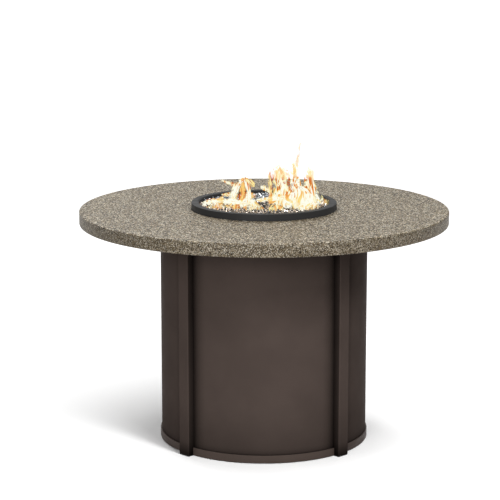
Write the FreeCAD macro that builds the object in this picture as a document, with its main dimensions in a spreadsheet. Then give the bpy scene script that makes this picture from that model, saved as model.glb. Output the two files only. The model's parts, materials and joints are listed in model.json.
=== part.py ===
import FreeCAD, Part
import math
import os
import re
import Sketcher

# Fire pit table: a round stone-composite top with a sunken gas burner, on a drum of four square posts,
# curved sheet panels and a rear door. Millimetres. +Z is up, the floor is z = 0, the axis of the table
# is x = y = 0, and the front of the drum faces -Y. The posts stand on the diagonals.

SIZES = [
    # table top
    ("top_radius", 609.5), ("top_height", 772), ("edge_depth", 43), ("edge_width", 28),
    ("top_skin", 20), ("edge_round", 4), ("lower_round", 3),
    ("collar_width", 12), ("collar_drop", 15), ("rebate_depth", 3),
    # fire ring, pan and glass
    ("ring_radius", 240.3), ("ring_width", 25), ("ring_rise", 22), ("ring_wall", 3),
    ("lip_width", 4.2), ("lip_drop", 1.5), ("ring_round", 1.5), ("ring_clearance", 1.2),
    ("pan_inset", 5.3), ("pan_wall", 1.5), ("pan_depth", 56.5), ("pan_flange", 22), ("pan_clearance", 3),
    ("glass_clearance", 0.3), ("glass_drop", 5), ("glass_crown", 3),
    ("flame_bowl", 215.3), ("flame_root", 3), ("flame_depth", 0.7),
    # burner
    ("burner_outer", 140), ("burner_inner", 70), ("burner_tube", 8), ("burner_rise", 43),
    ("spoke_radius", 6), ("hub_radius", 18), ("hub_height", 22), ("pipe_radius", 10.65), ("pipe_drop", 24),
    ("pipe_collar", 17), ("pipe_collar_height", 4), ("hole_clearance", 0.35),
    ("locknut_size", 34), ("locknut_height", 9),
    ("mixer_radius", 15), ("mixer_length", 34), ("mixer_socket", 10), ("mixer_throat", 9),
    ("mixer_neck", 11.5), ("orifice_radius", 1.5), ("air_hole_radius", 4), ("air_hole_drop", 5.5),
    ("fit_clearance", 0.1), ("boss_root", 1), ("seat_gap", 0.04),
    ("probe_x", 50), ("probe_y", 85), ("probe_radius", 4), ("probe_flange", 8), ("probe_tip", 1.2),
    ("probe_drop", 26), ("probe_pin", 8.5), ("tip_cover", 6),
    # heat shield
    ("shield_inset", 10), ("shield_sheet", 1.5), ("shield_drop", 54), ("shield_hole", 30),
    ("shield_slot", 8), ("stud_radius", 3), ("stud_shoulder", 6), ("stud_inset", 20), ("stud_nut", 4),
    ("stud_tail", 2),
    # posts and top frame
    ("post_size", 44.4), ("post_stand", 23.7), ("post_wall", 2), ("post_round", 3),
    ("glide_height", 3), ("glide_inset", 0.5), ("glide_plug", 12), ("glide_clearance", 0.3),
    ("frame_width", 72), ("frame_margin", 5.3), ("frame_sheet", 6),
    ("screw_count", 8), ("screw_inset", 47), ("screw_radius", 3), ("screw_head", 6),
    ("screw_head_height", 3.5), ("screw_bite", 11), ("screw_clearance", 0.4),
    # drum
    ("drum_radius", 343), ("sheet", 1.5), ("return_depth", 15), ("panel_bottom", 6), ("panel_gap", 0.3),
    ("panel_top_gap", 2),
    ("band_thickness", 4.2), ("band_height", 25), ("band_bottom", 2), ("band_round", 1), ("seam", 0.3),
    ("floor_gap", 3.3), ("floor_height", 25), ("floor_sheet", 3),
    ("vent_count", 8), ("vent_radius", 12), ("vent_inset", 89),
    ("bracket_sheet", 3), ("bracket_width", 30), ("bracket_length", 32), ("bracket_drop", 20),
    ("tank_radius", 105), ("collar_wall", 3), ("collar_height", 25),
    # door and its hinges
    ("door_bottom", 32), ("door_gap", 2), ("header_height", 22), ("header_gap", 3),
    ("leaf_sheet", 2), ("leaf_width", 22), ("leaf_height", 60), ("post_leaf_width", 13),
    ("knuckle_radius", 4), ("knuckle_bite", 1), ("knuckle_gap", 0.5), ("leaf_seam", 0.1),
    ("hinge_rise", 108), ("hinge_drop", 81), ("hinge_pin", 2.5), ("pin_clearance", 0.05), ("pin_head", 2),
    ("leaf_screw_from_edge", 9), ("leaf_screw_inset", 14), ("leaf_screw", 2), ("leaf_screw_head", 3.6),
    ("leaf_screw_head_height", 1.6), ("leaf_screw_length", 6),
    ("catch_angle", 30), ("catch_width", 40), ("catch_height", 14), ("catch_drop", 8), ("catch_gap", 0.3),
    ("strike_sheet", 2), ("strike_seat", 0.5), ("magnet_depth", 10.5), ("catch_sheet", 2), ("catch_tab", 18),
    ("pull_drop", 251), ("pull_length", 110), ("pull_reach", 25), ("pull_radius", 4), ("pull_bend", 9),
    ("pull_screw", 2), ("pull_screw_depth", 10), ("pull_screw_bite", 8),
    # control panel
    ("control_inset", 58), ("control_sheet", 2), ("control_width", 180), ("control_rise", 75),
    ("control_drop", 55), ("arm_width", 20), ("arm_tab", 33),
    # gas valve and its knob
    ("valve_width", 36), ("valve_length", 38), ("valve_height", 40), ("valve_gap", 2),
    ("neck_radius", 9), ("neck_length", 9.5), ("valve_bore", 6.3), ("valve_bore_end", 32),
    ("outlet_below", 10), ("outlet_radius", 9), ("outlet_length", 10), ("outlet_depth", 8),
    ("port_above", 11), ("port_radius", 4), ("port_length", 6),
    ("inlet_radius", 7.9), ("inlet_length", 14), ("inlet_collar", 10), ("inlet_collar_length", 8),
    ("inlet_bore", 3), ("bezel_radius", 15), ("bezel_height", 4.5),
    ("knob_radius", 19), ("knob_height", 22), ("knob_gap", 5.5), ("knob_socket", 16), ("knob_round", 2),
    ("flute_count", 12), ("flute_radius", 3), ("flute_depth", 1.6), ("flute_start", 5.5),
    ("pointer_width", 3), ("pointer_rise", 0.8), ("pointer_inset", 6),
    ("valve_stem", 3), ("stem_shoulder", 4.5), ("stem_shoulder_length", 2.5), ("stem_clearance", 0.05),
    ("plunger_length", 14), ("plunger_radius", 6), ("push_room", 5),
    # igniter
    ("igniter_x", 52), ("igniter_radius", 11), ("igniter_length", 44), ("igniter_flange", 14),
    ("igniter_flange_height", 3), ("igniter_nut_size", 27), ("igniter_nut_height", 6),
    ("button_radius", 7), ("button_clearance", 0.15), ("button_length", 12), ("button_rise", 5),
    ("button_seat", 15), ("button_round", 1), ("terminal_radius", 2), ("terminal_length", 6),
    # gas tube and leads
    ("gas_tube", 5), ("gas_bend", 40), ("gas_straight", 8.5), ("gas_nut_size", 19), ("gas_nut_length", 11),
    ("lead_radius", 1.5), ("lead_bend", 25), ("lead_start", 40), ("lead_end", 60),
]

# tongues of fire: where the foot stands in a bowl of the radius flame_bowl, how far the tip leans to
# the right, height over the edge of the glass, and width
FLAMES = [
    ("column", -82, -20, 20, 94, 66), ("hook", -52, -12, 20, 66, 28), ("curl", -104, -5, -38, 80, 26),
    ("strand", 26, 10, -6, 112, 18), ("near", 52, -6, -14, 130, 74), ("middle", 96, -16, 4, 146, 70),
    ("wisp", 112, 4, 12, 206, 24), ("far", 156, 0, -12, 126, 72), ("lick", 12, 76, -16, 44, 24),
    ("left_low", -148, -4, -34, 30, 84), ("back_low", -40, 60, 26, 20, 60),
    ("front_low", 50, -104, 10, 22, 78), ("right_low", 122, -92, 14, 28, 92),
    ("end_low", 182, 34, 10, 26, 40),
]
# shares of a tongue's height, width and lean at each of its sections, from the foot up
FLAME_SHARES = [(0, 0.72, 0), (0.24, 1, 0.05), (0.52, 0.78, 0.25), (0.8, 0.42, 0.62), (1, 0.06, 1)]
SIZES += [(f"{tongue}_{measure}", number) for tongue, *numbers in FLAMES
          for measure, number in zip(("x", "y", "lean", "rise", "width"), numbers)]

# heights and radii that follow from the sizes
REBATE = "(top_height - rebate_depth)"
TOP_UNDERSIDE = "(top_height - top_skin)"
FRAME_UNDERSIDE = f"({TOP_UNDERSIDE} - frame_sheet)"
POST_REACH = "(drum_radius + post_stand)"
FRAME_OUTER = f"({POST_REACH} + frame_margin)"
FRAME_INNER = f"({FRAME_OUTER} - frame_width)"
SCREW_CIRCLE = f"({FRAME_OUTER} - screw_inset)"
RIM = "(top_height + ring_rise)"
RING_INNER = "(ring_radius - ring_width)"
LIP = f"({RIM} - lip_drop)"
GLASS_EDGE = f"({RIM} - glass_drop)"
FLAME_SPREAD = f"({RING_INNER} / flame_bowl)"
PAN_RADIUS = f"({RING_INNER} - pan_inset)"
PAN_INNER = f"({PAN_RADIUS} - pan_wall)"
PAN_UNDERSIDE = f"({REBATE} - pan_depth)"
PAN_FLOOR = f"({PAN_UNDERSIDE} + pan_wall)"
FLANGE_TOP = f"({REBATE} + pan_wall)"
BURNER = f"({PAN_FLOOR} + burner_rise)"
PIPE_END = f"({PAN_UNDERSIDE} - pipe_drop)"
MIXER_TOP = f"({PIPE_END} + mixer_socket)"
MIXER_BOTTOM = f"({MIXER_TOP} - mixer_length)"
PROBE_BOTTOM = f"({PAN_UNDERSIDE} - probe_drop)"
PROBE_TOP = f"({BURNER} + burner_tube + tip_cover)"
SHIELD_RADIUS = f"({PAN_RADIUS} - shield_inset)"
SHIELD_TOP = f"({PAN_UNDERSIDE} - shield_drop)"
POST_INNER = f"({POST_REACH} - post_size)"
POST_MIDDLE = f"({POST_REACH} - post_size / 2)"
DRUM_INNER = "(drum_radius - sheet)"
BAND_INNER = "(drum_radius + seam)"
BAND_OUTER = f"({BAND_INNER} + band_thickness)"
FLOOR_TOP = "(floor_height + floor_sheet)"
FLOOR_RADIUS = f"({POST_INNER} - floor_gap)"
DOOR_TOP = f"({FRAME_UNDERSIDE} - header_height - header_gap)"
HINGE_LOW = "(door_bottom + hinge_rise)"
HINGE_SPACING = f"({DOOR_TOP} - hinge_drop - leaf_height - {HINGE_LOW})"
PULL_HEIGHT = f"({DOOR_TOP} - pull_drop)"
LEAF_INNER = "(drum_radius + leaf_seam)"
LEAF_OUTER = f"({LEAF_INNER} + leaf_sheet)"
PIVOT_RADIUS = f"({LEAF_OUTER} + knuckle_radius - knuckle_bite)"
PIVOT_V = "(post_size / 2 + leaf_sheet + knuckle_radius - knuckle_bite)"
PIVOT_U = f"sqrt({PIVOT_RADIUS}^2 - {PIVOT_V}^2)"
CONTROL_BACK = "(drum_radius - control_inset)"
CONTROL_FRONT = f"({CONTROL_BACK} + control_sheet)"
TUBE_LOW = f"({MIXER_BOTTOM} - gas_nut_length - gas_straight - gas_bend)"
AXIS = f"({TUBE_LOW} + outlet_below)"
VALVE_FRONT = f"({CONTROL_BACK} - valve_gap)"
VALVE_BACK = f"({VALVE_FRONT} - valve_length)"
OUTLET_END = f"({VALVE_BACK} - outlet_length)"
IGNITER_BACK = f"({CONTROL_FRONT} - igniter_length)"

REAR = 90
FRONT = -90
LEFT = 180
RIGHT = 0
HEAD_ROUNDING = 0.45
STRAIGHT = 1e-6
HINGE_POST = 45
ALONG_Y = FreeCAD.Rotation(FreeCAD.Vector(1, 0, 0), -90)

doc = FreeCAD.newDocument("fire_pit_table")
sheet = doc.addObject("Spreadsheet::Sheet", "Sizes")
for row, (name, number) in enumerate(SIZES, start=1):
    sheet.set(f"A{row}", name)
    sheet.set(f"B{row}", str(number))
    sheet.setAlias(f"B{row}", name)
doc.recompute()

NAMES = {name for name, number in SIZES}
parts = []


def formula(text):
    """The text with each size's name turned into a reference to its cell."""
    return re.sub(r"[a-z_]+", lambda word: "Sizes." + word.group() if word.group() in NAMES else word.group(),
                  str(text))


def size(text):
    """What a formula comes to, in millimetres, degrees or copies."""
    return float(sheet.evalExpression(formula(text)))


def place(item, x=0, y=0, z=0, turn=None):
    """Set a piece at a point given by formulas, turned by a rotation."""
    item.Placement = FreeCAD.Placement(FreeCAD.Vector(), turn or FreeCAD.Rotation())
    for axis, text in zip("xyz", (x, y, z)):
        item.setExpression(f"Placement.Base.{axis}", formula(text))


def about_z(angle):
    return FreeCAD.Rotation(FreeCAD.Vector(0, 0, 1), angle)


def rectangle(x_low, x_high, y_low, y_high):
    return [(x_low, y_low), (x_high, y_low), (x_high, y_high), (x_low, y_high)]


def circle(x, y, radius):
    return {"x": x, "y": y, "radius": radius}


def hexagon(across_flats):
    """Corners of a hexagon with flats to the left and right."""
    reach = f"({across_flats} / sqrt(3))"
    return [(f"{reach} * {math.cos(math.radians(60 * side + 30)):.9f}",
             f"{reach} * {math.sin(math.radians(60 * side + 30)):.9f}") for side in range(6)]


def rounded_square(width, corner):
    """Corners of a square about the origin whose corners are arcs."""
    outer = f"({width} / 2)"
    flat = f"({width} / 2 - {corner})"
    corners = []
    for sx, sy in ((1, -1), (1, 1), (-1, 1), (-1, -1)):
        along_side = (f"{sx} * {outer}", f"{sy} * {flat}")
        along_end = (f"{sx} * {flat}", f"{sy} * {outer}")
        first, second = (along_end, along_side) if sx != sy else (along_side, along_end)
        corners.append((*first, corner, f"{sx} * {flat}", f"{sy} * {flat}"))
        corners.append(second)
    return corners


class Piece:
    """A sub-part built as one body, feature by feature."""

    def __init__(self, label, kept=True):
        self.body = doc.addObject("PartDesign::Body", label)
        self.body.Label = label
        if kept:
            parts.append(self.body)

    def origin(self, role):
        return next(item for item in self.body.Origin.OriginFeatures if item.Role == role)

    def feature(self, kind, name):
        return self.body.newObject(kind, f"{self.body.Label}_{name}")

    def sketch(self, plane, level, loops):
        """A fully held sketch, level millimetres along the axis square to its plane."""
        sketch = self.feature("Sketcher::SketchObject", "sketch")
        sketch.AttachmentSupport = (self.origin(f"{plane}_Plane"), [""])
        sketch.MapMode = "FlatFace"
        offset = f"-({level})" if plane == "XZ" else level
        sketch.setExpression("AttachmentOffset.Base.z", formula(offset))
        for loop in loops:
            if isinstance(loop, dict):
                self.add_circle(sketch, loop)
            else:
                self.add_outline(sketch, loop)
        return sketch

    def hold(self, sketch, kind, *place_of, text):
        """Add one dimension and bind it to its formula."""
        number = sketch.addConstraint(Sketcher.Constraint(kind, *place_of, size(text)))
        name = f"{kind}{number}"
        sketch.renameConstraint(number, name)
        sketch.setExpression(f"Constraints.{name}", formula(text))

    def add_circle(self, sketch, loop):
        centre = FreeCAD.Vector(size(loop["x"]), size(loop["y"]), 0)
        edge = sketch.addGeometry(Part.Circle(centre, FreeCAD.Vector(0, 0, 1), size(loop["radius"])), False)
        self.hold(sketch, "DistanceX", -1, 1, edge, 3, text=loop["x"])
        self.hold(sketch, "DistanceY", -1, 1, edge, 3, text=loop["y"])
        self.hold(sketch, "Radius", edge, text=loop["radius"])

    def add_outline(self, sketch, corners):
        """A closed outline of (x, y) corners. Where an arc leads on, its radius and centre x, y follow."""
        points = [FreeCAD.Vector(size(corner[0]), size(corner[1]), 0) for corner in corners]
        edges = []
        for number, corner in enumerate(corners):
            start = points[number]
            stop = points[(number + 1) % len(points)]
            if len(corner) == 2:
                edge = sketch.addGeometry(Part.LineSegment(start, stop), False)
                edges.append((edge, 1, 2))
                continue
            centre = FreeCAD.Vector(size(corner[3]), size(corner[4]), 0)
            ring = Part.Circle(centre, FreeCAD.Vector(0, 0, 1), size(corner[2]))
            forward = (start - centre).cross(stop - centre).z > 0
            low, high = (start, stop) if forward else (stop, start)
            angles = [math.atan2(point.y - centre.y, point.x - centre.x) for point in (low, high)]
            if angles[1] < angles[0]:
                angles[1] += 2 * math.pi
            edge = sketch.addGeometry(Part.ArcOfCircle(ring, *angles), False)
            edges.append((edge, 1, 2) if forward else (edge, 2, 1))
        for number, corner in enumerate(corners):
            edge, first, last = edges[number]
            before, before_first, before_last = edges[number - 1]
            sketch.addConstraint(Sketcher.Constraint("Coincident", before, before_last, edge, first))
            self.hold(sketch, "DistanceX", -1, 1, edge, first, text=corner[0])
            self.hold(sketch, "DistanceY", -1, 1, edge, first, text=corner[1])
            if len(corner) > 2:
                self.hold(sketch, "Radius", edge, text=corner[2])

    def pad(self, plane, level, length, loops):
        """Add material from the level onwards, the length towards +X, +Y or +Z."""
        pad = self.feature("PartDesign::Pad", "pad")
        pad.Profile = self.sketch(plane, level, loops)
        pad.setExpression("Length", formula(length))
        pad.Reversed = plane == "XZ"
        doc.recompute()
        return pad

    def cut(self, plane, level, length, loops):
        """Take material away from the level onwards, the length towards +X, +Y or +Z."""
        before = self.body.Shape.Volume
        pocket = self.feature("PartDesign::Pocket", "cut")
        pocket.Profile = self.sketch(plane, level, loops)
        pocket.setExpression("Length", formula(length))
        pocket.Reversed = plane != "XZ"
        doc.recompute()
        if self.body.Shape.Volume >= before:
            raise RuntimeError(f"a cut in {self.body.Label} meets no material")
        return pocket

    def turned(self, corners, angle=360):
        """Turn a section of (radius, height) corners about Z, its middle on +X."""
        turned = self.feature("PartDesign::Revolution", "turned")
        turned.Profile = self.sketch("XZ", 0, [corners])
        turned.ReferenceAxis = (self.origin("Z_Axis"), [""])
        turned.setExpression("Angle", formula(angle))
        turned.Midplane = angle != 360
        doc.recompute()
        return turned

    def around(self, feature, count):
        """Repeat a feature evenly about Z."""
        pattern = self.feature("PartDesign::PolarPattern", "around")
        pattern.Originals = [feature]
        pattern.Axis = (self.origin("Z_Axis"), [""])
        pattern.Angle = 360
        pattern.setExpression("Occurrences", formula(count))
        self.body.Tip = pattern
        doc.recompute()
        return pattern

    def upwards(self, features, spacing, count=2):
        """Repeat features along Z."""
        pattern = self.feature("PartDesign::LinearPattern", "upwards")
        pattern.Originals = features
        pattern.Direction = (self.origin("Z_Axis"), [""])
        pattern.setExpression("Length", formula(spacing))
        pattern.Occurrences = count
        self.body.Tip = pattern
        doc.recompute()
        return pattern

    def soften(self, radius, chosen):
        """Round the edges that the test chooses."""
        tip = self.body.Tip
        names = [f"Edge{number}" for number, edge in enumerate(tip.Shape.Edges, start=1) if chosen(edge)]
        fillet = self.feature("PartDesign::Fillet", "soften")
        fillet.Base = (tip, names)
        fillet.setExpression("Radius", formula(radius))
        doc.recompute()
        return fillet

    def set_down(self, x=0, y=0, z=0, turn=None):
        place(self.body, x, y, z, turn)
        return self


def rim(radius, height):
    """A test for the round edge of this radius at this height."""
    return lambda edge: (edge.Curve.TypeId == "Part::GeomCircle"
                         and abs(edge.Curve.Radius - size(radius)) < 1e-4
                         and abs(edge.Curve.Center.z - size(height)) < 1e-4
                         and abs(abs(edge.Curve.Axis.z) - 1) < 1e-6)


def primitive(kind, label, x=0, y=0, z=0, turn=None, **values):
    """A cylinder, torus or other primitive with its sizes bound to formulas."""
    item = doc.addObject(f"Part::{kind}", label)
    for name, text in values.items():
        item.setExpression(name, formula(text))
    place(item, x, y, z, turn)
    return item


def joined(label, items):
    fuse = doc.addObject("Part::MultiFuse", label)
    fuse.Shapes = items
    return fuse


def minus(label, base, tool):
    """A kept sub-part: one shape less another."""
    cut = doc.addObject("Part::Cut", label)
    cut.Base = base
    cut.Tool = tool
    cut.Label = label
    parts.append(cut)
    return cut


def outward(angle, radius, height):
    """The place at a radius and height whose own Z points away from the table's axis."""
    way = FreeCAD.Vector(math.cos(math.radians(angle)), math.sin(math.radians(angle)), 0)
    turn = FreeCAD.Rotation(FreeCAD.Vector(0, 0, 1), way)
    return FreeCAD.Placement(way * radius + FreeCAD.Vector(0, 0, height), turn)


def kept_shape(label, shape):
    item = doc.addObject("Part::Feature", label)
    item.Label = label
    item.Shape = shape
    parts.append(item)
    return item


def rod(points, radius, bend):
    """A round rod along straight runs joined by arcs of one bend radius."""
    points = [FreeCAD.Vector(*point) for point in points]
    edges = []
    start = points[0]
    for before, corner, after in zip(points, points[1:], points[2:]):
        into = (corner - before).normalize()
        out = (after - corner).normalize()
        turn = into.getAngle(out)
        if turn < STRAIGHT:
            continue
        reach = bend * math.tan(turn / 2)
        first = corner - into * reach
        last = corner + out * reach
        middle = corner + (out - into).normalize() * bend * (1 / math.cos(turn / 2) - 1)
        edges.append(Part.makeLine(start, first))
        edges.append(Part.Arc(first, middle, last).toShape())
        start = last
    edges.append(Part.makeLine(start, points[-1]))
    path = Part.Wire(edges)
    section = Part.Wire(Part.makeCircle(radius, points[0], points[1] - points[0]))
    return path.makePipeShell([section], True, False)


def pan_head(radius, length, head, head_height):
    """A screw along Z: the shank from 0 up, the head below 0."""
    shank = Part.makeCylinder(radius, length)
    cap = Part.makeCylinder(head, head_height, FreeCAD.Vector(0, 0, -head_height))
    outer_rim = [edge for edge in cap.Edges if rim_below(edge, head_height)]
    cap = cap.makeFillet(head_height * HEAD_ROUNDING, outer_rim)
    return shank.fuse(cap).removeSplitter()


def rim_below(edge, depth):
    return edge.Curve.TypeId == "Part::GeomCircle" and abs(edge.Curve.Center.z + depth) < 1e-6


def table_top():
    """Cast top: a skin with a deep edge and a collar round the burner's hole."""
    hole = f"({PAN_RADIUS} + pan_clearance)"
    rebate_radius = "(ring_radius + ring_clearance)"
    edge_inner = "(top_radius - edge_width)"
    edge_bottom = "(top_height - edge_depth)"
    collar_bottom = f"({TOP_UNDERSIDE} - collar_drop)"
    top = Piece("table_top")
    top.turned([
        (hole, collar_bottom), (hole, REBATE), (rebate_radius, REBATE), (rebate_radius, "top_height"),
        ("top_radius", "top_height"), ("top_radius", edge_bottom), (edge_inner, edge_bottom),
        (edge_inner, TOP_UNDERSIDE), (f"{hole} + collar_width", TOP_UNDERSIDE),
        (f"{hole} + collar_width", collar_bottom),
    ])
    top.soften("edge_round", rim("top_radius", "top_height"))
    top.soften("lower_round", rim("top_radius", edge_bottom))
    insert = top.cut("XY", TOP_UNDERSIDE, "screw_bite + screw_clearance", [
        circle(*frame_screw_place(), "screw_radius + screw_clearance"),
    ])
    top.around(insert, "screw_count")


def frame_screw_place():
    """Where the first frame screw is, seen from above: half a step round from +X."""
    return f"{SCREW_CIRCLE} * cos(180 / screw_count)", f"{SCREW_CIRCLE} * sin(180 / screw_count)"


def top_frame():
    """Steel ring on top of the posts, with the screws that hold the table top."""
    frame = Piece("top_frame")
    frame.pad("XY", FRAME_UNDERSIDE, "frame_sheet", [circle(0, 0, FRAME_OUTER), circle(0, 0, FRAME_INNER)])
    hole = frame.cut("XY", FRAME_UNDERSIDE, "frame_sheet", [
        circle(*frame_screw_place(), "screw_radius + screw_clearance"),
    ])
    frame.around(hole, "screw_count")

    screws = Piece("top_screws")
    x, y = frame_screw_place()
    bottom = f"({FRAME_UNDERSIDE} - screw_head_height)"
    screw = screws.pad("XY", bottom, "screw_head_height + frame_sheet + screw_bite",
                       [circle(x, y, "screw_radius")])
    head = screws.pad("XY", bottom, "screw_head_height", [circle(x, y, "screw_head")])
    pattern = screws.around(screw, "screw_count")
    pattern.Originals = [screw, head]
    doc.recompute()


def fire_ring():
    """Heavy ring round the fire: a channel open below, with a low lip round its inner edge."""
    ring = Piece("fire_ring")
    step = f"({RING_INNER} + lip_width)"
    hollow_top = f"({LIP} - ring_wall)"
    ring.turned([
        ("ring_radius", REBATE), ("ring_radius", RIM), (step, RIM), (step, LIP), (RING_INNER, LIP),
        (RING_INNER, FLANGE_TOP), (f"{RING_INNER} + ring_wall", FLANGE_TOP),
        (f"{RING_INNER} + ring_wall", hollow_top), ("ring_radius - ring_wall", hollow_top),
        ("ring_radius - ring_wall", REBATE),
    ])
    ring.soften("ring_round", rim("ring_radius", RIM))


def burner_pan():
    """Sheet pan hung in the table's hole by its flange, pierced for the gas pipe and the two probes."""
    pan = Piece("burner_pan")
    flange = f"({PAN_RADIUS} + pan_flange)"
    pan.turned([
        (0, PAN_UNDERSIDE), (PAN_RADIUS, PAN_UNDERSIDE), (PAN_RADIUS, REBATE), (flange, REBATE),
        (flange, FLANGE_TOP), (PAN_INNER, FLANGE_TOP), (PAN_INNER, PAN_FLOOR), (0, PAN_FLOOR),
    ])
    pan.cut("XY", PAN_UNDERSIDE, "pan_wall", [
        circle(0, 0, "pipe_radius + hole_clearance"),
        circle("probe_x", "probe_y", "probe_radius + hole_clearance"),
        circle("-probe_x", "probe_y", "probe_radius + hole_clearance"),
    ])


def burner_solids(label, grow):
    """Two gas rings, four spokes, a hub and its pipe, each this much larger all round."""
    rings = [primitive("Torus", f"{label}_{name}", z=BURNER, Radius1=name, Radius2=f"burner_tube + {grow}")
             for name in ("burner_outer", "burner_inner")]
    spokes = []
    for number in range(4):
        way = FreeCAD.Vector(math.cos(math.radians(90 * number)), math.sin(math.radians(90 * number)), 0)
        spokes.append(primitive("Cylinder", f"{label}_spoke{number}", z=BURNER, Height="burner_outer",
                                Radius=f"spoke_radius + {grow}",
                                turn=FreeCAD.Rotation(FreeCAD.Vector(0, 0, 1), way)))
    hub = primitive("Cylinder", f"{label}_hub", z=f"{BURNER} - hub_height / 2 - {grow}",
                    Radius=f"hub_radius + {grow}", Height=f"hub_height + 2 * {grow}")
    pipe = primitive("Cylinder", f"{label}_pipe", z=PIPE_END, Radius=f"pipe_radius + {grow}",
                     Height=f"{BURNER} - {PIPE_END}")
    collar = primitive("Cylinder", f"{label}_collar", z=PAN_FLOOR, Radius=f"pipe_collar + {grow}",
                       Height=f"pipe_collar_height + {grow}")
    return [*rings, *spokes, hub, pipe, collar]


def burner():
    """The double-ring burner, with the lock nut and air mixer on its pipe."""
    ring = joined("burner_ring", burner_solids("burner", "0"))
    ring.Label = "burner_ring"
    parts.append(ring)

    nut = Piece("burner_locknut")
    nut.pad("XY", f"{PAN_UNDERSIDE} - locknut_height", "locknut_height",
            [hexagon("locknut_size"), circle(0, 0, "pipe_radius + fit_clearance")])

    mixer = Piece("air_mixer")
    neck_top = f"({MIXER_BOTTOM} + mixer_neck)"
    mixer.turned([
        ("orifice_radius", MIXER_BOTTOM), ("mixer_throat", MIXER_BOTTOM), ("mixer_throat", neck_top),
        ("mixer_radius", neck_top), ("mixer_radius", MIXER_TOP),
        ("pipe_radius + fit_clearance", MIXER_TOP), ("pipe_radius + fit_clearance", PIPE_END),
        ("orifice_radius", PIPE_END),
    ])
    air_hole = mixer.cut("XZ", "0", "mixer_radius", [
        circle(0, f"{PIPE_END} - air_hole_drop", "air_hole_radius"),
    ])
    mixer.around(air_hole, 4)
    mixer.cut("XY", MIXER_BOTTOM, "outlet_depth", [circle(0, 0, "gas_tube + fit_clearance")])


def probe(label, side):
    """A probe through the pan: ceramic body, flange under the pan, thin tip into the glass."""
    piece = Piece(label)
    piece.turned([
        (0, PROBE_BOTTOM), ("lead_radius", PROBE_BOTTOM), ("lead_radius", f"{PROBE_BOTTOM} + probe_pin"),
        ("probe_radius", f"{PROBE_BOTTOM} + probe_pin"),
        ("probe_radius", f"{PAN_UNDERSIDE} - pan_wall"), ("probe_flange", f"{PAN_UNDERSIDE} - pan_wall"),
        ("probe_flange", PAN_UNDERSIDE), ("probe_radius", PAN_UNDERSIDE), ("probe_radius", BURNER),
        ("probe_tip", BURNER), ("probe_tip", PROBE_TOP), (0, PROBE_TOP),
    ])
    piece.set_down(f"{side} * probe_x", "probe_y")


def fire_glass():
    """Bed of fire glass as one crowned solid that leaves room for the burner and the probes."""
    bed = Piece("glass_bed", kept=False)
    crown = f"({GLASS_EDGE} + glass_crown)"
    inner = f"({RING_INNER} - glass_clearance)"
    wall = f"({PAN_INNER} - glass_clearance)"
    slope = f"({inner}^2 / (2 * glass_crown) + glass_crown / 2)"
    bed.turned([
        (0, PAN_FLOOR), (wall, PAN_FLOOR), (wall, FLANGE_TOP), (inner, FLANGE_TOP),
        (inner, GLASS_EDGE, slope, 0, f"{crown} - {slope}"), (0, crown),
    ])
    room = burner_solids("burner_room", "glass_clearance")
    probe_height = f"{PROBE_TOP} + glass_clearance - {PAN_UNDERSIDE}"
    for side in (1, -1):
        room.append(primitive("Cylinder", "probe_room", x=f"{side} * probe_x", y="probe_y", z=PAN_UNDERSIDE,
                              Radius="probe_radius + glass_clearance", Height=probe_height))
    minus("fire_glass", bed.body, joined("glass_room", room))
    return bed


def tongue(name):
    """A tongue of fire, lofted through ellipses: it swells above its foot, then leans and thins out."""
    foot = f"({GLASS_EDGE} - flame_root)"
    sections = []
    for rise, breadth, lean in FLAME_SHARES:
        half_width = f"{breadth} * {name}_width / 2"
        sections.append(primitive(
            "Ellipse", f"{name}_section", x=f"({name}_x + {lean} * {name}_lean) * {FLAME_SPREAD}",
            y=f"{name}_y * {FLAME_SPREAD}", z=f"{foot} + {rise} * ({name}_rise + flame_root)",
            MajorRadius=half_width, MinorRadius=f"{half_width} * flame_depth"))
    loft = doc.addObject("Part::Loft", name)
    loft.Sections = sections
    loft.Solid = True
    return loft


def flames(bed):
    """The fire over the glass, as tall as it stands when lit, on the bed's crowned surface."""
    tongues = [tongue(name) for name, *numbers in FLAMES]
    minus("flames", joined("tongues", tongues), bed.body)


def heat_shield():
    """Disc hung below the pan on four studs, so that the tank stays cool."""
    shield = Piece("heat_shield")
    bottom = f"({SHIELD_TOP} - shield_sheet)"
    shield.pad("XY", bottom, "shield_sheet", [
        circle(0, 0, SHIELD_RADIUS), circle(0, 0, "shield_hole"),
        circle("probe_x", "probe_y", "shield_slot"), circle("-probe_x", "probe_y", "shield_slot"),
    ])
    corner = f"(({SHIELD_RADIUS} - stud_inset) / sqrt(2))"
    hole = shield.cut("XY", bottom, "shield_sheet", [circle(corner, corner, "stud_radius + screw_clearance")])
    shield.around(hole, 4)

    studs = Piece("shield_studs")
    pads = [
        studs.pad("XY", f"{bottom} - stud_nut - stud_tail", "stud_tail + stud_nut + shield_sheet",
                  [circle(corner, corner, "stud_radius")]),
        studs.pad("XY", SHIELD_TOP, "shield_drop", [circle(corner, corner, "stud_shoulder")]),
        studs.pad("XY", f"{bottom} - stud_nut", "stud_nut", [circle(corner, corner, "stud_shoulder")]),
    ]
    studs.around(pads[0], 4).Originals = pads
    doc.recompute()


def post_square(width):
    """Outline of a post of this width, seen from above, its middle on +X."""
    outline = []
    for x, y, *arc in rounded_square(width, "post_round"):
        if arc:
            radius, arc_x, arc_y = arc
            arc = (radius, f"{POST_MIDDLE} + ({arc_x})", arc_y)
        outline.append((f"{POST_MIDDLE} + ({x})", y, *arc))
    return outline


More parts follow.
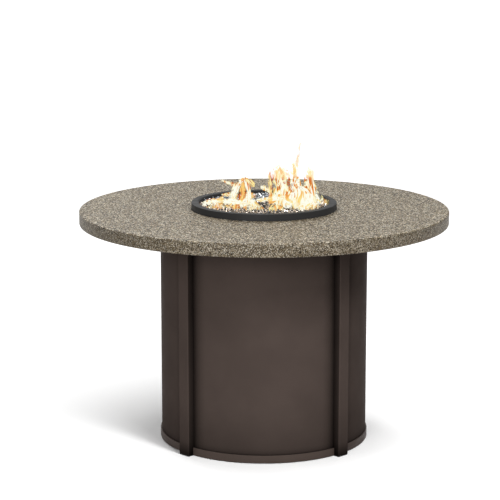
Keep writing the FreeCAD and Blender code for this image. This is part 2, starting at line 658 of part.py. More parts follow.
def posts():
    """Four square tubes on the diagonals, each on a plastic glide."""
    for label, angle in (("post_front_right", -45), ("post_rear_right", 45), ("post_rear_left", 135),
                         ("post_front_left", -135)):
        post = Piece(label)
        inner = rectangle(f"{POST_INNER} + post_wall", f"{POST_REACH} - post_wall",
                          "-(post_size / 2 - post_wall)", "post_size / 2 - post_wall")
        post.pad("XY", "glide_height", f"{FRAME_UNDERSIDE} - glide_height", [post_square("post_size"), inner])
        post.set_down(turn=about_z(angle))

    glides = Piece("post_glides")
    plug = "(post_size / 2 - post_wall - glide_clearance)"
    foot = glides.pad("XY", 0, "glide_height", [post_square("(post_size - 2 * glide_inset)")])
    core = glides.pad("XY", "glide_height - boss_root", "boss_root + glide_plug", [
        rectangle(f"{POST_MIDDLE} - {plug}", f"{POST_MIDDLE} + {plug}", f"-{plug}", plug)])
    glides.around(foot, 4).Originals = [foot, core]
    glides.set_down(turn=about_z(45))


def shell_section(gap):
    """Corners of a curved sheet with a return along each post, seen from above, its middle on +X."""
    side = f"(post_size / 2 + {gap})"
    outer = f"sqrt(drum_radius^2 - {side}^2)"
    inner = f"sqrt({DRUM_INNER}^2 - ({side} + sheet)^2)"
    tip = f"({outer} - return_depth)"
    half = [(outer, side), (tip, side), (tip, f"({side} + sheet)"), (inner, f"({side} + sheet)")]
    near = [(f"({u} + {v}) / sqrt(2)", f"({u} - {v}) / sqrt(2)") for u, v in half]
    far = [(f"({u} + {v}) / sqrt(2)", f"({v} - {u}) / sqrt(2)") for u, v in half]
    near[3] = (*near[3], DRUM_INNER, 0, 0)
    far[0] = (*far[0], "drum_radius", 0, 0)
    return [*near, far[3], far[2], far[1], far[0]]


def drum():
    """Curved panels, the band round their foot, and the floor that carries the gas tank."""
    for label, angle in (("panel_front", FRONT), ("panel_left", LEFT), ("panel_right", RIGHT)):
        panel = Piece(label)
        panel.pad("XY", "panel_bottom", f"{FRAME_UNDERSIDE} - panel_top_gap - panel_bottom",
                  [shell_section("panel_gap")])
        panel.set_down(turn=about_z(angle))
    header = Piece("door_header")
    header.pad("XY", f"{DOOR_TOP} + header_gap", "header_height", [shell_section("panel_gap")])
    header.set_down(turn=about_z(REAR))

    sweep = f"(90 - 2 * asin((post_size / 2 + panel_gap) / {BAND_INNER}) / 1 deg)"
    for label, angle in (("base_band_front", FRONT), ("base_band_left", LEFT), ("base_band_right", RIGHT),
                         ("base_band_rear", REAR)):
        band = Piece(label)
        band.turned(rectangle(BAND_INNER, BAND_OUTER, "band_bottom", "band_bottom + band_height"), sweep)
        band.soften("band_round", rim(BAND_OUTER, "band_bottom + band_height"))
        band.set_down(turn=about_z(angle))

    floor = Piece("base_floor")
    floor.pad("XY", "floor_height", "floor_sheet", [circle(0, 0, FLOOR_RADIUS)])
    vent = floor.cut("XY", "floor_height", "floor_sheet",
                     [circle(f"{FLOOR_RADIUS} - vent_inset", 0, "vent_radius")])
    floor.around(vent, "vent_count")

    brackets = Piece("floor_brackets")
    bracket = brackets.pad("XZ", "-bracket_width / 2", "bracket_width", [[
        (POST_INNER, "floor_height - bracket_drop"), (POST_INNER, "floor_height"),
        (f"{POST_INNER} - bracket_length", "floor_height"),
        (f"{POST_INNER} - bracket_length", "floor_height - bracket_sheet"),
        (f"{POST_INNER} - bracket_sheet", "floor_height - bracket_sheet"),
        (f"{POST_INNER} - bracket_sheet", "floor_height - bracket_drop"),
    ]])
    brackets.around(bracket, 4)
    brackets.set_down(turn=about_z(45))

    collar = Piece("tank_collar")
    collar.pad("XY", FLOOR_TOP, "collar_height", [
        circle(0, 0, "tank_radius + collar_wall"), circle(0, 0, "tank_radius")])


def leaf_angle(along):
    """Degrees round the drum from the hinge's post, the given millimetres past the pivot."""
    return f"(asin({PIVOT_V} / {PIVOT_RADIUS}) / 1 deg + ({along}) / {LEAF_OUTER} * 180 / pi)"


def around_leaf(radius, angle):
    return f"{radius} * cos({angle})", f"{radius} * sin({angle})"


def leaf_outline(start, end):
    """Outline of the curved leaf between two distances past the pivot."""
    first = leaf_angle(start)
    last = leaf_angle(end)
    return [
        (*around_leaf(LEAF_INNER, first), LEAF_INNER, 0, 0), around_leaf(LEAF_INNER, last),
        (*around_leaf(LEAF_OUTER, last), LEAF_OUTER, 0, 0), around_leaf(LEAF_OUTER, first),
    ]


def hinges():
    """Two butt hinges on the rear right post, with their knuckles just outside the drum."""
    third = "((leaf_height - 2 * knuckle_gap) / 3)"
    middle_low = f"({HINGE_LOW} + {third} + knuckle_gap)"
    upper_low = f"({HINGE_LOW} + leaf_height - {third})"
    clear = "(knuckle_radius + knuckle_gap)"
    post_face = "post_size / 2"
    barrel = circle(PIVOT_U, PIVOT_V, "knuckle_radius")
    bore = circle(PIVOT_U, PIVOT_V, "hinge_pin + pin_clearance")

    fixed = Piece("hinge_post_leaves")
    solid = [fixed.pad("XY", HINGE_LOW, "leaf_height", [
        rectangle(f"{PIVOT_U} + {clear}", f"{PIVOT_U} + {clear} + post_leaf_width", post_face,
                  f"{post_face} + leaf_sheet")])]
    for low in (HINGE_LOW, upper_low):
        solid.append(fixed.pad("XY", low, third, [
            rectangle(PIVOT_U, f"{PIVOT_U} + {clear} + post_leaf_width", post_face,
                      f"{post_face} + leaf_sheet")]))
        solid.append(fixed.pad("XY", low, third, [barrel]))
    solid.append(fixed.cut("XY", HINGE_LOW, "leaf_height", [bore]))
    fixed.upwards(solid, HINGE_SPACING)
    fixed.set_down(turn=about_z(HINGE_POST))

    moving = Piece("hinge_door_leaves_blank", kept=False)
    solid = [
        moving.pad("XY", HINGE_LOW, "leaf_height", [leaf_outline(clear, "leaf_width")]),
        moving.pad("XY", middle_low, third, [leaf_outline("0", f"{clear} + boss_root")]),
        moving.pad("XY", middle_low, third, [barrel]),
        moving.cut("XY", middle_low, third, [bore]),
    ]
    moving.upwards(solid, HINGE_SPACING)
    moving.set_down(turn=about_z(HINGE_POST))
    minus("hinge_door_leaves", moving.body, joined("leaf_holes", [
        radial_hole("leaf_hole", *spot, "leaf_screw") for spot in leaf_screw_places()]))

    pins = Piece("hinge_pins")
    pin = pins.pad("XY", f"{HINGE_LOW} - pin_head", "leaf_height + 2 * pin_head",
                   [circle(PIVOT_U, PIVOT_V, "hinge_pin")])
    head = pins.pad("XY", f"{HINGE_LOW} + leaf_height", "pin_head",
                    [circle(PIVOT_U, PIVOT_V, "knuckle_radius")])
    pins.upwards([pin, head], HINGE_SPACING)
    pins.set_down(turn=about_z(HINGE_POST))


def leaf_screw_places():
    """Angle and height of each screw through the door's hinge leaves."""
    angle = HINGE_POST + size(leaf_angle("(leaf_width - leaf_screw_from_edge)"))
    heights = [f"{HINGE_LOW} + {lift} + {end}" for lift in ("0", HINGE_SPACING)
               for end in ("leaf_screw_inset", "leaf_height - leaf_screw_inset")]
    return [(angle, height) for height in heights]


def pull_screw_places():
    """Angle and height of each screw into the door pull."""
    angle = REAR + size("catch_angle")
    legs = "(pull_length / 2 - pull_radius)"
    return [(angle, f"{PULL_HEIGHT} - {legs}"), (angle, f"{PULL_HEIGHT} + {legs}")]


def radial_hole(label, angle, height, radius):
    """A drill pointing outwards through the drum's sheet and whatever lies on it."""
    start = size("drum_radius - return_depth")
    drill = doc.addObject("Part::Cylinder", label)
    drill.setExpression("Radius", formula(f"{radius} + screw_clearance / 2"))
    drill.setExpression("Height", formula("2 * return_depth"))
    drill.Placement = outward(angle, start, size(height))
    return drill


def door():
    """Rear door with its pull, strike plate, magnet and screws."""
    blank = Piece("door_blank", kept=False)
    blank.pad("XY", "door_bottom", f"{DOOR_TOP} - door_bottom", [shell_section("door_gap")])
    blank.set_down(turn=about_z(REAR))
    drills = [radial_hole("door_hole", *spot, "leaf_screw") for spot in leaf_screw_places()]
    drills += [radial_hole("pull_hole", *spot, "pull_screw") for spot in pull_screw_places()]
    minus("door_panel", blank.body, joined("door_holes", drills))

    screws = []
    for angle, height in leaf_screw_places():
        screw = pan_head(size("leaf_screw"), size("leaf_screw_length"), size("leaf_screw_head"),
                         size("leaf_screw_head_height"))
        screw.Placement = outward(angle, size(f"{LEAF_OUTER} + seat_gap"), size(height))
        screw.rotate(screw.Placement.Base, FreeCAD.Vector(0, 0, 1), 180)
        screws.append(screw)
    for angle, height in pull_screw_places():
        screw = pan_head(size("pull_screw"), size("sheet + pull_screw_bite"), size("leaf_screw_head"),
                         size("leaf_screw_head_height"))
        screw.Placement = outward(angle, size(f"{DRUM_INNER} - seat_gap"), size(height))
        screws.append(screw)
    kept_shape("door_screws", Part.makeCompound(screws))

    foot = size("drum_radius + seat_gap")
    top = size("pull_length / 2 - pull_radius")
    reach = size("pull_reach")
    handle = rod([(foot, 0, -top), (foot + reach, 0, -top), (foot + reach, 0, top), (foot, 0, top)],
                 size("pull_radius"), size("pull_bend"))
    for side in (-1, 1):
        handle = handle.cut(Part.makeCylinder(size("pull_screw"), size("pull_screw_depth"),
                                              FreeCAD.Vector(foot, 0, side * top), FreeCAD.Vector(1, 0, 0)))
    pull = kept_shape("door_pull", handle)
    place(pull, z=PULL_HEIGHT, turn=about_z(REAR + size("catch_angle")))

    face = f"({DRUM_INNER} * cos(asin(catch_width / 2 / {DRUM_INNER})) - strike_seat)"
    strike_low = f"({DOOR_TOP} - catch_drop - catch_height)"
    strike = Piece("door_strike")
    strike.pad("XY", strike_low, "catch_height", [
        rectangle(f"{face} - strike_sheet", face, "-catch_width / 2", "catch_width / 2")])
    magnet_face = f"({face} - strike_sheet - catch_gap)"
    magnet = Piece("door_magnet")
    magnet.pad("XY", strike_low, "catch_height", [
        rectangle(f"{magnet_face} - magnet_depth", magnet_face, "-catch_width / 2", "catch_width / 2")])
    hanger = Piece("magnet_bracket")
    back = f"({magnet_face} - magnet_depth)"
    hanger.pad("XZ", "-catch_width / 2", "catch_width", [[
        (back, strike_low), (back, FRAME_UNDERSIDE), (f"{back} - catch_tab", FRAME_UNDERSIDE),
        (f"{back} - catch_tab", f"{FRAME_UNDERSIDE} - catch_sheet"),
        (f"{back} - catch_sheet", f"{FRAME_UNDERSIDE} - catch_sheet"), (f"{back} - catch_sheet", strike_low),
    ]])
    for piece in (strike, magnet, hanger):
        piece.set_down(turn=about_z(REAR + size("catch_angle")))


def control_panel():
    """Bracket behind the door that carries the valve and the igniter, hung from the top frame."""
    half = "(control_width / 2)"
    arm = "(control_width / 2 - arm_width)"
    bottom = f"({AXIS} - control_drop)"
    top = f"({AXIS} + control_rise)"
    panel = Piece("control_panel")
    panel.pad("XZ", CONTROL_BACK, "control_sheet", [
        [(f"-{half}", bottom), (half, bottom), (half, FRAME_UNDERSIDE),
         (arm, FRAME_UNDERSIDE), (arm, top), (f"-{arm}", top), (f"-{arm}", FRAME_UNDERSIDE),
         (f"-{half}", FRAME_UNDERSIDE)],
        circle(0, AXIS, "neck_radius + hole_clearance"),
        circle("igniter_x", AXIS, "igniter_radius + hole_clearance"),
    ])
    for low, high in ((arm, half), (f"-{half}", f"-{arm}")):
        panel.pad("XY", f"{FRAME_UNDERSIDE} - control_sheet", "control_sheet", [
            rectangle(low, high, CONTROL_BACK, f"{CONTROL_FRONT} + arm_tab")])


def gas_valve():
    """Push-and-turn valve: body, nut, sprung plunger, stem and knob."""
    outlet = circle(0, TUBE_LOW, "outlet_radius")
    port = circle(0, f"{AXIS} + port_above", "port_radius")
    half = "(valve_width / 2)"
    body = Piece("valve_body")
    body.pad("XZ", VALVE_BACK, "valve_length", [
        rectangle(f"-{half}", half, f"{AXIS} - valve_height / 2", f"{AXIS} + valve_height / 2")])
    body.pad("XZ", VALVE_FRONT, "neck_length", [circle(0, AXIS, "neck_radius")])
    body.pad("XZ", OUTLET_END, "outlet_length + boss_root", [outlet])
    body.pad("XZ", f"{VALVE_BACK} - port_length", "port_length + boss_root", [port])
    inlet_y = f"({VALVE_BACK} + valve_length / 2)"
    body.pad("YZ", f"-{half} - inlet_collar_length", "inlet_collar_length + boss_root",
             [circle(inlet_y, AXIS, "inlet_collar")])
    body.pad("YZ", f"-{half} - inlet_collar_length - inlet_length", "inlet_length + boss_root",
             [circle(inlet_y, AXIS, "inlet_radius")])
    body.cut("YZ", f"-{half} - inlet_collar_length - inlet_length", "inlet_length",
             [circle(inlet_y, AXIS, "inlet_bore")])
    body.cut("XZ", f"{VALVE_FRONT} - valve_bore_end", "valve_bore_end + neck_length",
             [circle(0, AXIS, "valve_bore")])
    body.cut("XZ", OUTLET_END, "outlet_depth", [
        circle(0, TUBE_LOW, "gas_tube + fit_clearance")])

    bezel = Piece("valve_bezel")
    bezel.pad("XZ", CONTROL_FRONT, "bezel_height", [
        circle(0, AXIS, "bezel_radius"), circle(0, AXIS, "neck_radius + fit_clearance")])

    knob_back = f"({CONTROL_FRONT} + bezel_height + knob_gap)"
    plunger_back = f"({VALVE_FRONT} - valve_bore_end + stem_shoulder_length + push_room)"
    plunger = Piece("valve_plunger")
    plunger.pad("XZ", plunger_back, "plunger_length", [
        circle(0, AXIS, "plunger_radius"), circle(0, AXIS, "valve_stem + stem_clearance")])

    stem = Piece("valve_stem")
    shoulder = [circle(0, AXIS, "stem_shoulder")]
    stem.pad("XZ", f"{plunger_back} - stem_shoulder_length",
             f"{knob_back} + knob_socket - {plunger_back} + stem_shoulder_length - fit_clearance",
             [circle(0, AXIS, "valve_stem")])
    stem.pad("XZ", f"{plunger_back} - stem_shoulder_length - fit_clearance", "stem_shoulder_length", shoulder)
    stem.pad("XZ", f"{plunger_back} + plunger_length + fit_clearance", "stem_shoulder_length", shoulder)

    knob = Piece("control_knob")
    knob.turned([
        (0, "knob_socket"), ("valve_stem + stem_clearance", "knob_socket"),
        ("valve_stem + stem_clearance", 0),
        ("knob_radius", 0), ("knob_radius", "knob_height"), (0, "knob_height"),
    ])
    knob.soften("knob_round", rim("knob_radius", "knob_height"))
    flute = knob.cut("XY", "flute_start", "knob_height", [
        circle("knob_radius + flute_radius - flute_depth", 0, "flute_radius")])
    knob.around(flute, "flute_count")
    knob.pad("XY", "knob_height - boss_root", "boss_root + pointer_rise", [
        rectangle("-pointer_width / 2", "pointer_width / 2", "-(knob_radius - pointer_inset)", "0")])
    knob.set_down(0, knob_back, AXIS, ALONG_Y)


def igniter():
    """Battery spark igniter: barrel with a flange, nut and push button."""
    body = Piece("igniter_body")
    flange_front = f"({CONTROL_FRONT} + igniter_flange_height)"
    body.pad("XZ", IGNITER_BACK, "igniter_length", [circle("igniter_x", AXIS, "igniter_radius")])
    body.pad("XZ", CONTROL_FRONT, "igniter_flange_height", [circle("igniter_x", AXIS, "igniter_flange")])
    body.pad("XZ", f"{IGNITER_BACK} - terminal_length", "terminal_length + boss_root",
             [circle("igniter_x", AXIS, "terminal_radius")])
    body.cut("XZ", f"{flange_front} - button_seat", "button_seat",
             [circle("igniter_x", AXIS, "button_radius + button_clearance")])

    nut = Piece("igniter_nut")
    nut.pad("XY", 0, "igniter_nut_height", [
        hexagon("igniter_nut_size"), circle(0, 0, "igniter_radius + fit_clearance")])
    nut.set_down("igniter_x", f"{CONTROL_BACK} - igniter_nut_height", AXIS, ALONG_Y)

    button = Piece("igniter_button")
    button.turned([(0, 0), ("button_radius", 0), ("button_radius", "button_length"), (0, "button_length")])
    button.soften("button_round", rim("button_radius", "button_length"))
    button.set_down("igniter_x", f"{flange_front} + button_rise - button_length", AXIS, ALONG_Y)


def gas_line():
    """Tube from the valve to the air mixer, its two nuts, and the leads of the two probes."""
    low = size(TUBE_LOW)
    start = size(f"{OUTLET_END} + outlet_depth - fit_clearance")
    top = size(f"{MIXER_BOTTOM} + outlet_depth - fit_clearance")
    tube = rod([(0, start, low), (0, 0, low), (0, 0, top)], size("gas_tube"), size("gas_bend"))
    kept_shape("gas_connector", tube)

    valve_nut = Piece("gas_nut_valve")
    mixer_nut = Piece("gas_nut_mixer")
    for nut in (valve_nut, mixer_nut):
        nut.pad("XY", 0, "gas_nut_length",
                [hexagon("gas_nut_size"), circle(0, 0, "gas_tube + fit_clearance")])
    valve_nut.set_down(0, f"{OUTLET_END} - gas_nut_length", TUBE_LOW, ALONG_Y)
    mixer_nut.set_down(0, 0, f"{MIXER_BOTTOM} - gas_nut_length")

    lead("ignition_lead", "igniter_x", f"{IGNITER_BACK} - terminal_length", AXIS, "probe_x")
    lead("thermocouple_lead", "0", f"{VALVE_BACK} - port_length", f"{AXIS} + port_above", "-probe_x")


def lead(label, x, back, level, probe_x):
    """A lead from a terminal behind the control panel, level until it is under its probe, then up."""
    x, back, level, probe_x = (size(text) for text in (x, back, level, probe_x))
    route = [(x, back, level), (x, back - size("lead_start"), level),
             (probe_x, size("probe_y + lead_end"), level), (probe_x, size("probe_y"), level),
             (probe_x, size("probe_y"), size(PROBE_BOTTOM))]
    kept_shape(label, rod(route, size("lead_radius"), size("lead_bend")))


table_top()
top_frame()
fire_ring()
burner_pan()
burner()
probe("spark_electrode", 1)
probe("thermocouple", -1)
flames(fire_glass())
heat_shield()
posts()
drum()
hinges()
door()
control_panel()
gas_valve()
igniter()
gas_line()
doc.recompute()

for item in doc.Objects:
    if "Invalid" in item.State or "Error" in item.State:
        raise RuntimeError(f"{item.Label} failed: {item.State}")
os.makedirs("parts", exist_ok=True)
for part in parts:
    if part.Shape.isNull() or not part.Shape.isValid():
        raise RuntimeError(f"{part.Label} has no sound shape")
    part.Shape.exportStep(f"parts/{part.Label}.step")
    print(f"{part.Label:22s} {len(part.Shape.Solids):3d} solids {part.Shape.Volume / 1000:10.2f} cm3")
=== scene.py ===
import json
import math
import random

import bmesh
import bpy
from mathutils import Euler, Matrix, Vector, noise

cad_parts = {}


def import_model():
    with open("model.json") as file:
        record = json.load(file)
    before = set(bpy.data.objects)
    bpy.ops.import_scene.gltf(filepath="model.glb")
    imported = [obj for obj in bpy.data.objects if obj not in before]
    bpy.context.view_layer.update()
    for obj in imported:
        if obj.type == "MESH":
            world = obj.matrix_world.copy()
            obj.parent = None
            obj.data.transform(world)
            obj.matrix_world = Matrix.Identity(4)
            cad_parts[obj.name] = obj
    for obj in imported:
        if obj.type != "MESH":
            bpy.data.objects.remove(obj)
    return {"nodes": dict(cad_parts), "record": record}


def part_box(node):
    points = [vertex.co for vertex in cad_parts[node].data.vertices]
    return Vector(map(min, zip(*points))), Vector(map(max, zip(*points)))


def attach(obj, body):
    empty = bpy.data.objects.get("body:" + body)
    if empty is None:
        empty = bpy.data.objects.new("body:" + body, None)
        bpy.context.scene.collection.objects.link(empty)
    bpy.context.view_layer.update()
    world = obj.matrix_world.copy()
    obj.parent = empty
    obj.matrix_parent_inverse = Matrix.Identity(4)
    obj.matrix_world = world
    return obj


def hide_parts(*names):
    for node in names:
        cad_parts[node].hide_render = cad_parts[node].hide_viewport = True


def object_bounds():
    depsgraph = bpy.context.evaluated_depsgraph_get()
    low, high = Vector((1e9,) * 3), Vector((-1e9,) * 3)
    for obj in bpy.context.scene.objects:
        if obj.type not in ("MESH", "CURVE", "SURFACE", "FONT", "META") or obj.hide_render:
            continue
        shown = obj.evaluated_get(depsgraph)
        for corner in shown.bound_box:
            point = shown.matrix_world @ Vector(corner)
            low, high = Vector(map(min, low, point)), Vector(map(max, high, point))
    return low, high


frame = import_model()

# Fire pit table: finishes for every CAD node, crushed glass in the bowl, the gas flames over it,
# and a white studio round it. Metres, +Z up, the front faces -Y.

CAD_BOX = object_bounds()
RANDOM = random.Random(2432)
noise.seed_set(2)
WHITE = (1, 1, 1, 1)

# the light on the object: the world's level, what the lamps face, and each one's name, place, width and watts
AMBIENT = 0.16
LAMP_TARGET = (0.0, 0.0, 0.5)
LAMPS = [
    ("key_softbox", (1.85, -3.48, 3.58), 1.4, 108.0),
    ("front_fill", (-1.35, -4.70, 1.54), 1.6, 100.0),
    ("rear_softbox", (-2.0, 3.4, 4.6), 2.0, 112.0),
]

# the floor: half its width, its two shades, the grey that it throws back on the object, and its own lamp
FLOOR_HALF = 60.0
FLOOR_TONES = [(0.0, (0.94, 0.94, 0.94, 1)), (1.0, (0.96, 0.96, 0.96, 1))]
FLOOR_BOUNCE = (0.35, 0.35, 0.35, 1)
FLOOR_LAMP = ("floor_softbox", (2.32, -3.19, 3.58), 1.0, 150.0)
# its painted shadow: how far off a thing still shelters it, and the rays that look for it
FLOOR_REACH = 0.8
FLOOR_RAYS = 16
# its lift to plain white, less where sheltered as a painted shadow: the openness at which it starts and how
# fast it rises from there, and the distances from the middle at which it starts anyway and is full
FLOOR_SHADE = 0.57
FLOOR_RISE = 1.5
FLOOR_WHITE = (2.5, 6.0)

# the photograph's camera, and how far it sees
PHOTO_SIZE = 500
SENSOR = 36.0
CAMERA_LENS = 138.3
CAMERA_PLACE = (0.0, -6.253, 1.896)
CAMERA_PITCH = 0.1997
CAMERA_YAW = 0.0074
CAMERA_TURN = (math.pi / 2 - CAMERA_PITCH, 0.0, CAMERA_YAW)
CAMERA_SIGHT = 200.0


def srgb(red, green, blue):
    """A colour of 0 to 255 as seen on a screen, as linear light."""
    def linear(level):
        level /= 255
        return level / 12.92 if level <= 0.04045 else ((level + 0.055) / 1.055) ** 2.4
    return (linear(red), linear(green), linear(blue), 1.0)


def added(name, data):
    """A new object of the scene that shows this mesh, lamp or camera."""
    made = bpy.data.objects.new(name, data)
    bpy.context.scene.collection.objects.link(made)
    return made


def new_mesh(name, points, faces, material):
    """A new object of these points and faces."""
    mesh = bpy.data.meshes.new(name)
    mesh.from_pydata(points, [], faces)
    mesh.materials.append(material)
    return added(name, mesh)


def label_points(made, name, values):
    """Store one number on each point of a mesh, for its material to read."""
    made.data.attributes.new(name, "FLOAT", "POINT").data.foreach_set("value", values)


# Materials

# painted shade: how far off a thing shelters a spot, in hollows and in a corner, and the rays that look for
# it
HOLLOW_SHADE_REACH = 0.2
CORNER_SHADE_REACH = 0.05
SHELTER_RAYS = 8
# nearly all of a noise lies between these
NOISE_RANGE = (0.3, 0.7)
# a Mix node's sockets for colours
MIX_INPUTS, MIX_RESULT = (0, 6, 7), 2
SHADER_INPUTS = {
    "colour": "Base Color", "roughness": "Roughness", "metallic": "Metallic", "normal": "Normal",
    "specular": "Specular IOR Level", "ior": "IOR", "transmission": "Transmission Weight",
    "coat": "Coat Weight", "coat_roughness": "Coat Roughness",
}


class Nodes:
    """A node tree in the making. An input takes a value or the socket that feeds it."""

    def __init__(self, tree):
        self.tree = tree
        self.tree.nodes.clear()

    def feed(self, socket, value):
        """Link the socket that gives the value, or set the value itself."""
        if isinstance(value, bpy.types.NodeSocket):
            self.tree.links.new(value, socket)
        else:
            socket.default_value = value

    def node(self, kind, inputs=(), **settings):
        """A new node with its settings and its inputs."""
        made = self.tree.nodes.new(f"ShaderNode{kind}")
        for name, value in settings.items():
            setattr(made, name, value)
        for name, value in dict(inputs).items():
            self.feed(made.inputs[name], value)
        return made

    def math(self, operation, *values, clamp=False):
        """The result of a Math node."""
        made = self.node("Math", operation=operation, use_clamp=clamp)
        for socket, value in zip(made.inputs, values):
            self.feed(socket, value)
        return made.outputs[0]

    def product(self, first, *others):
        """All the values multiplied."""
        for other in others:
            first = self.math("MULTIPLY", first, other)
        return first

    def blend(self, share, first, second):
        """One shader that turns into a second as the share goes from 0 to 1."""
        return self.node("MixShader", {0: share, 1: first, 2: second}).outputs[0]

    def seen(self):
        """1 for rays that show a thing to the camera, straight or in gloss and glass, and 0 for the rest."""
        ray = self.node("LightPath").outputs
        either = self.math("MAXIMUM", ray["Is Camera Ray"], ray["Is Glossy Ray"])
        return self.math("MAXIMUM", either, ray["Is Transmission Ray"])


class Look(Nodes):
    """A node material in the making."""

    def __init__(self, name):
        self.material = bpy.data.materials.new(name)
        self.material.use_nodes = True
        super().__init__(self.material.node_tree)

    def place(self, stretch=(1, 1, 1)):
        """Object coordinates, stretched."""
        coordinates = self.node("TexCoord").outputs["Object"]
        return self.node("Mapping", {"Vector": coordinates, "Scale": stretch}).outputs[0]

    def label(self, name):
        """The number that the mesh's points hold under this name."""
        return self.node("Attribute", attribute_name=name).outputs["Fac"]

    def upward(self, vector):
        """The Z of a place or direction."""
        return self.node("SeparateXYZ", {"Vector": vector}).outputs[2]

    def noise(self, where, scale, detail=2.0, roughness=0.5, distortion=0.0):
        """Soft random patches, about as many to the metre as the scale says."""
        return self.node("TexNoise", {
            "Vector": where, "Scale": scale, "Detail": detail, "Roughness": roughness,
            "Distortion": distortion,
        }).outputs["Fac"]

    def cells(self, where, scale):
        """One random number for each grain of a Voronoi pattern."""
        pattern = self.node("TexVoronoi", {"Vector": where, "Scale": scale})
        return self.node("SeparateColor", {"Color": pattern.outputs["Color"]}).outputs[0]

    def span(self, value, low, high, start=0.0, stop=1.0):
        """The value mapped from low..high to start..stop, smoothly and no further."""
        return self.node("MapRange", {
            "Value": value, "From Min": low, "From Max": high, "To Min": start, "To Max": stop,
        }, interpolation_type="SMOOTHSTEP").outputs["Result"]

    def spread(self, patches, low, high):
        """A noise, mapped to fill the range from low to high."""
        return self.span(patches, *NOISE_RANGE, low, high)

    def ramp(self, value, stops, steps=False):
        """A colour for each value from 0 to 1, in bands with sharp steps or in one gradient."""
        made = self.node("ValToRGB", {"Fac": value})
        made.color_ramp.interpolation = "CONSTANT" if steps else "LINEAR"
        elements = made.color_ramp.elements
        while len(elements) < len(stops):
            elements.new(0.5)
        for element, (position, colour) in zip(elements, stops):
            element.position = position
            element.color = colour
        return made.outputs["Color"]

    def mix(self, share, first, second, blend="MIX"):
        """Two colours mixed, by the share of the second."""
        made = self.node("Mix", data_type="RGBA", blend_type=blend)
        for index, value in zip(MIX_INPUTS, (share, first, second)):
            self.feed(made.inputs[index], value)
        return made.outputs[MIX_RESULT]

    def shade(self, colour, level):
        """A colour times a grey level."""
        grey = self.node("CombineColor", {"Red": level, "Green": level, "Blue": level}).outputs[0]
        return self.mix(1.0, colour, grey, "MULTIPLY")

    def varied(self, colour, where, share, scale):
        """A colour that drifts lighter and darker by a share of itself."""
        drift = self.spread(self.noise(where, scale, detail=3.0), 1 - share, 1 + share)
        return self.shade(colour, drift)

    def openness(self, reach, rays=SHELTER_RAYS):
        """How open a place is to the light round it, from 0 to 1, by what stands within reach."""
        return self.node("AmbientOcclusion", {"Distance": reach}, samples=rays).outputs["AO"]

    def bump(self, height, strength, distance):
        """The normal of a surface with this relief."""
        return self.node("Bump", {
            "Height": height, "Strength": strength, "Distance": distance,
        }).outputs["Normal"]

    def finish(self, shader):
        """Close the material with this shader."""
        self.node("OutputMaterial", {"Surface": shader})
        return self.material

    def principled(self, **values):
        """Close the material with the standard shader, its inputs named as in SHADER_INPUTS."""
        named = {SHADER_INPUTS[name]: value for name, value in values.items()}
        return self.finish(self.node("BsdfPrincipled", named).outputs[0])


# the stone's grains to the metre, the share of fine ones round the edge, and the noise that warps them
COARSE_GRAINS = 330.0
FINE_GRAINS = 470.0
FINE_SHARE = 0.75
GRAIN_WARP = 180.0
GRAIN_WARP_BY = 0.0025
# where each tone of grain starts, as a share of all grains
COARSE_TONES = [
    (0.0, srgb(12, 9, 5)), (0.27, srgb(80, 66, 47)), (0.40, srgb(119, 103, 78)),
    (0.57, srgb(151, 135, 107)), (0.75, srgb(199, 183, 152)), (0.87, srgb(254, 245, 224)),
]
FINE_TONES = [
    (0.0, srgb(14, 10, 6)), (0.24, srgb(88, 74, 55)), (0.40, srgb(134, 119, 94)),
    (0.68, srgb(184, 169, 142)), (0.84, srgb(253, 245, 228)),
]
# painted shade that darkens the edge's tones, and how far a face is turned up where edge changes to top
EDGE_PAINTED_SHADE = srgb(190, 188, 185)
TOP_TURN = (0.3, 0.8)


def granite():
    """Cast stone: grains of taupe, brown-black and off-white, coarser on top and finer round the edge."""
    look = Look("granite_speckle")
    where = look.place()
    push = look.node("TexNoise", {"Vector": where, "Scale": GRAIN_WARP}).outputs["Color"]
    warped = look.mix(GRAIN_WARP_BY, where, push, "ADD")
    coarse = look.ramp(look.cells(warped, COARSE_GRAINS), COARSE_TONES, steps=True)
    fine = look.ramp(look.cells(warped, FINE_GRAINS), FINE_TONES, steps=True)
    # round the edge the grains are darkened by a painted shade
    edge = look.mix(1.0, look.mix(FINE_SHARE, coarse, fine), EDGE_PAINTED_SHADE, "MULTIPLY")
    upright = look.upward(look.node("NewGeometry").outputs["Normal"])
    # upright faces take the edge's tones in painted shade, faces turned up the coarse ones
    stone = look.mix(look.span(upright, *TOP_TURN), edge, coarse)
    return look.principled(
        colour=look.varied(stone, where, share=0.06, scale=14.0), specular=0.2,
        roughness=look.spread(look.noise(where, 260.0), 0.42, 0.6),
        normal=look.bump(look.noise(where, 420.0), strength=0.25, distance=0.0004))


def powder_coat(name, colour, roughness, specular, grain=900.0, strength=0.12, hollow_shade_level=1.0, corners=1.0):
    """Baked powder paint with its fine orange-peel skin.

    Where hollow_shade_level is under 1, painted shade darkens the colour towards that level in deep hollows,
    near the floor and under what stands over it, and further in a corner by the power given as corners.
    """
    look = Look(name)
    where = look.place()
    tint_and_shade = look.varied(colour, where, share=0.06, scale=7.0)
    # painted shade: the colour darkens where parts nearby shelter it, and more in corners
    if hollow_shade_level < 1.0:
        painted_hollow_shade = look.math("ADD", hollow_shade_level, look.product(look.openness(HOLLOW_SHADE_REACH), 1 - hollow_shade_level))
        tint_and_shade = look.shade(tint_and_shade, painted_hollow_shade)
        tint_and_shade = look.shade(tint_and_shade, look.math("POWER", look.openness(CORNER_SHADE_REACH), corners))
    return look.principled(
        colour=tint_and_shade, specular=specular,
        roughness=look.spread(look.noise(where, 35.0, detail=3.0), *roughness),
        normal=look.bump(look.noise(where, grain), strength, distance=0.0002))


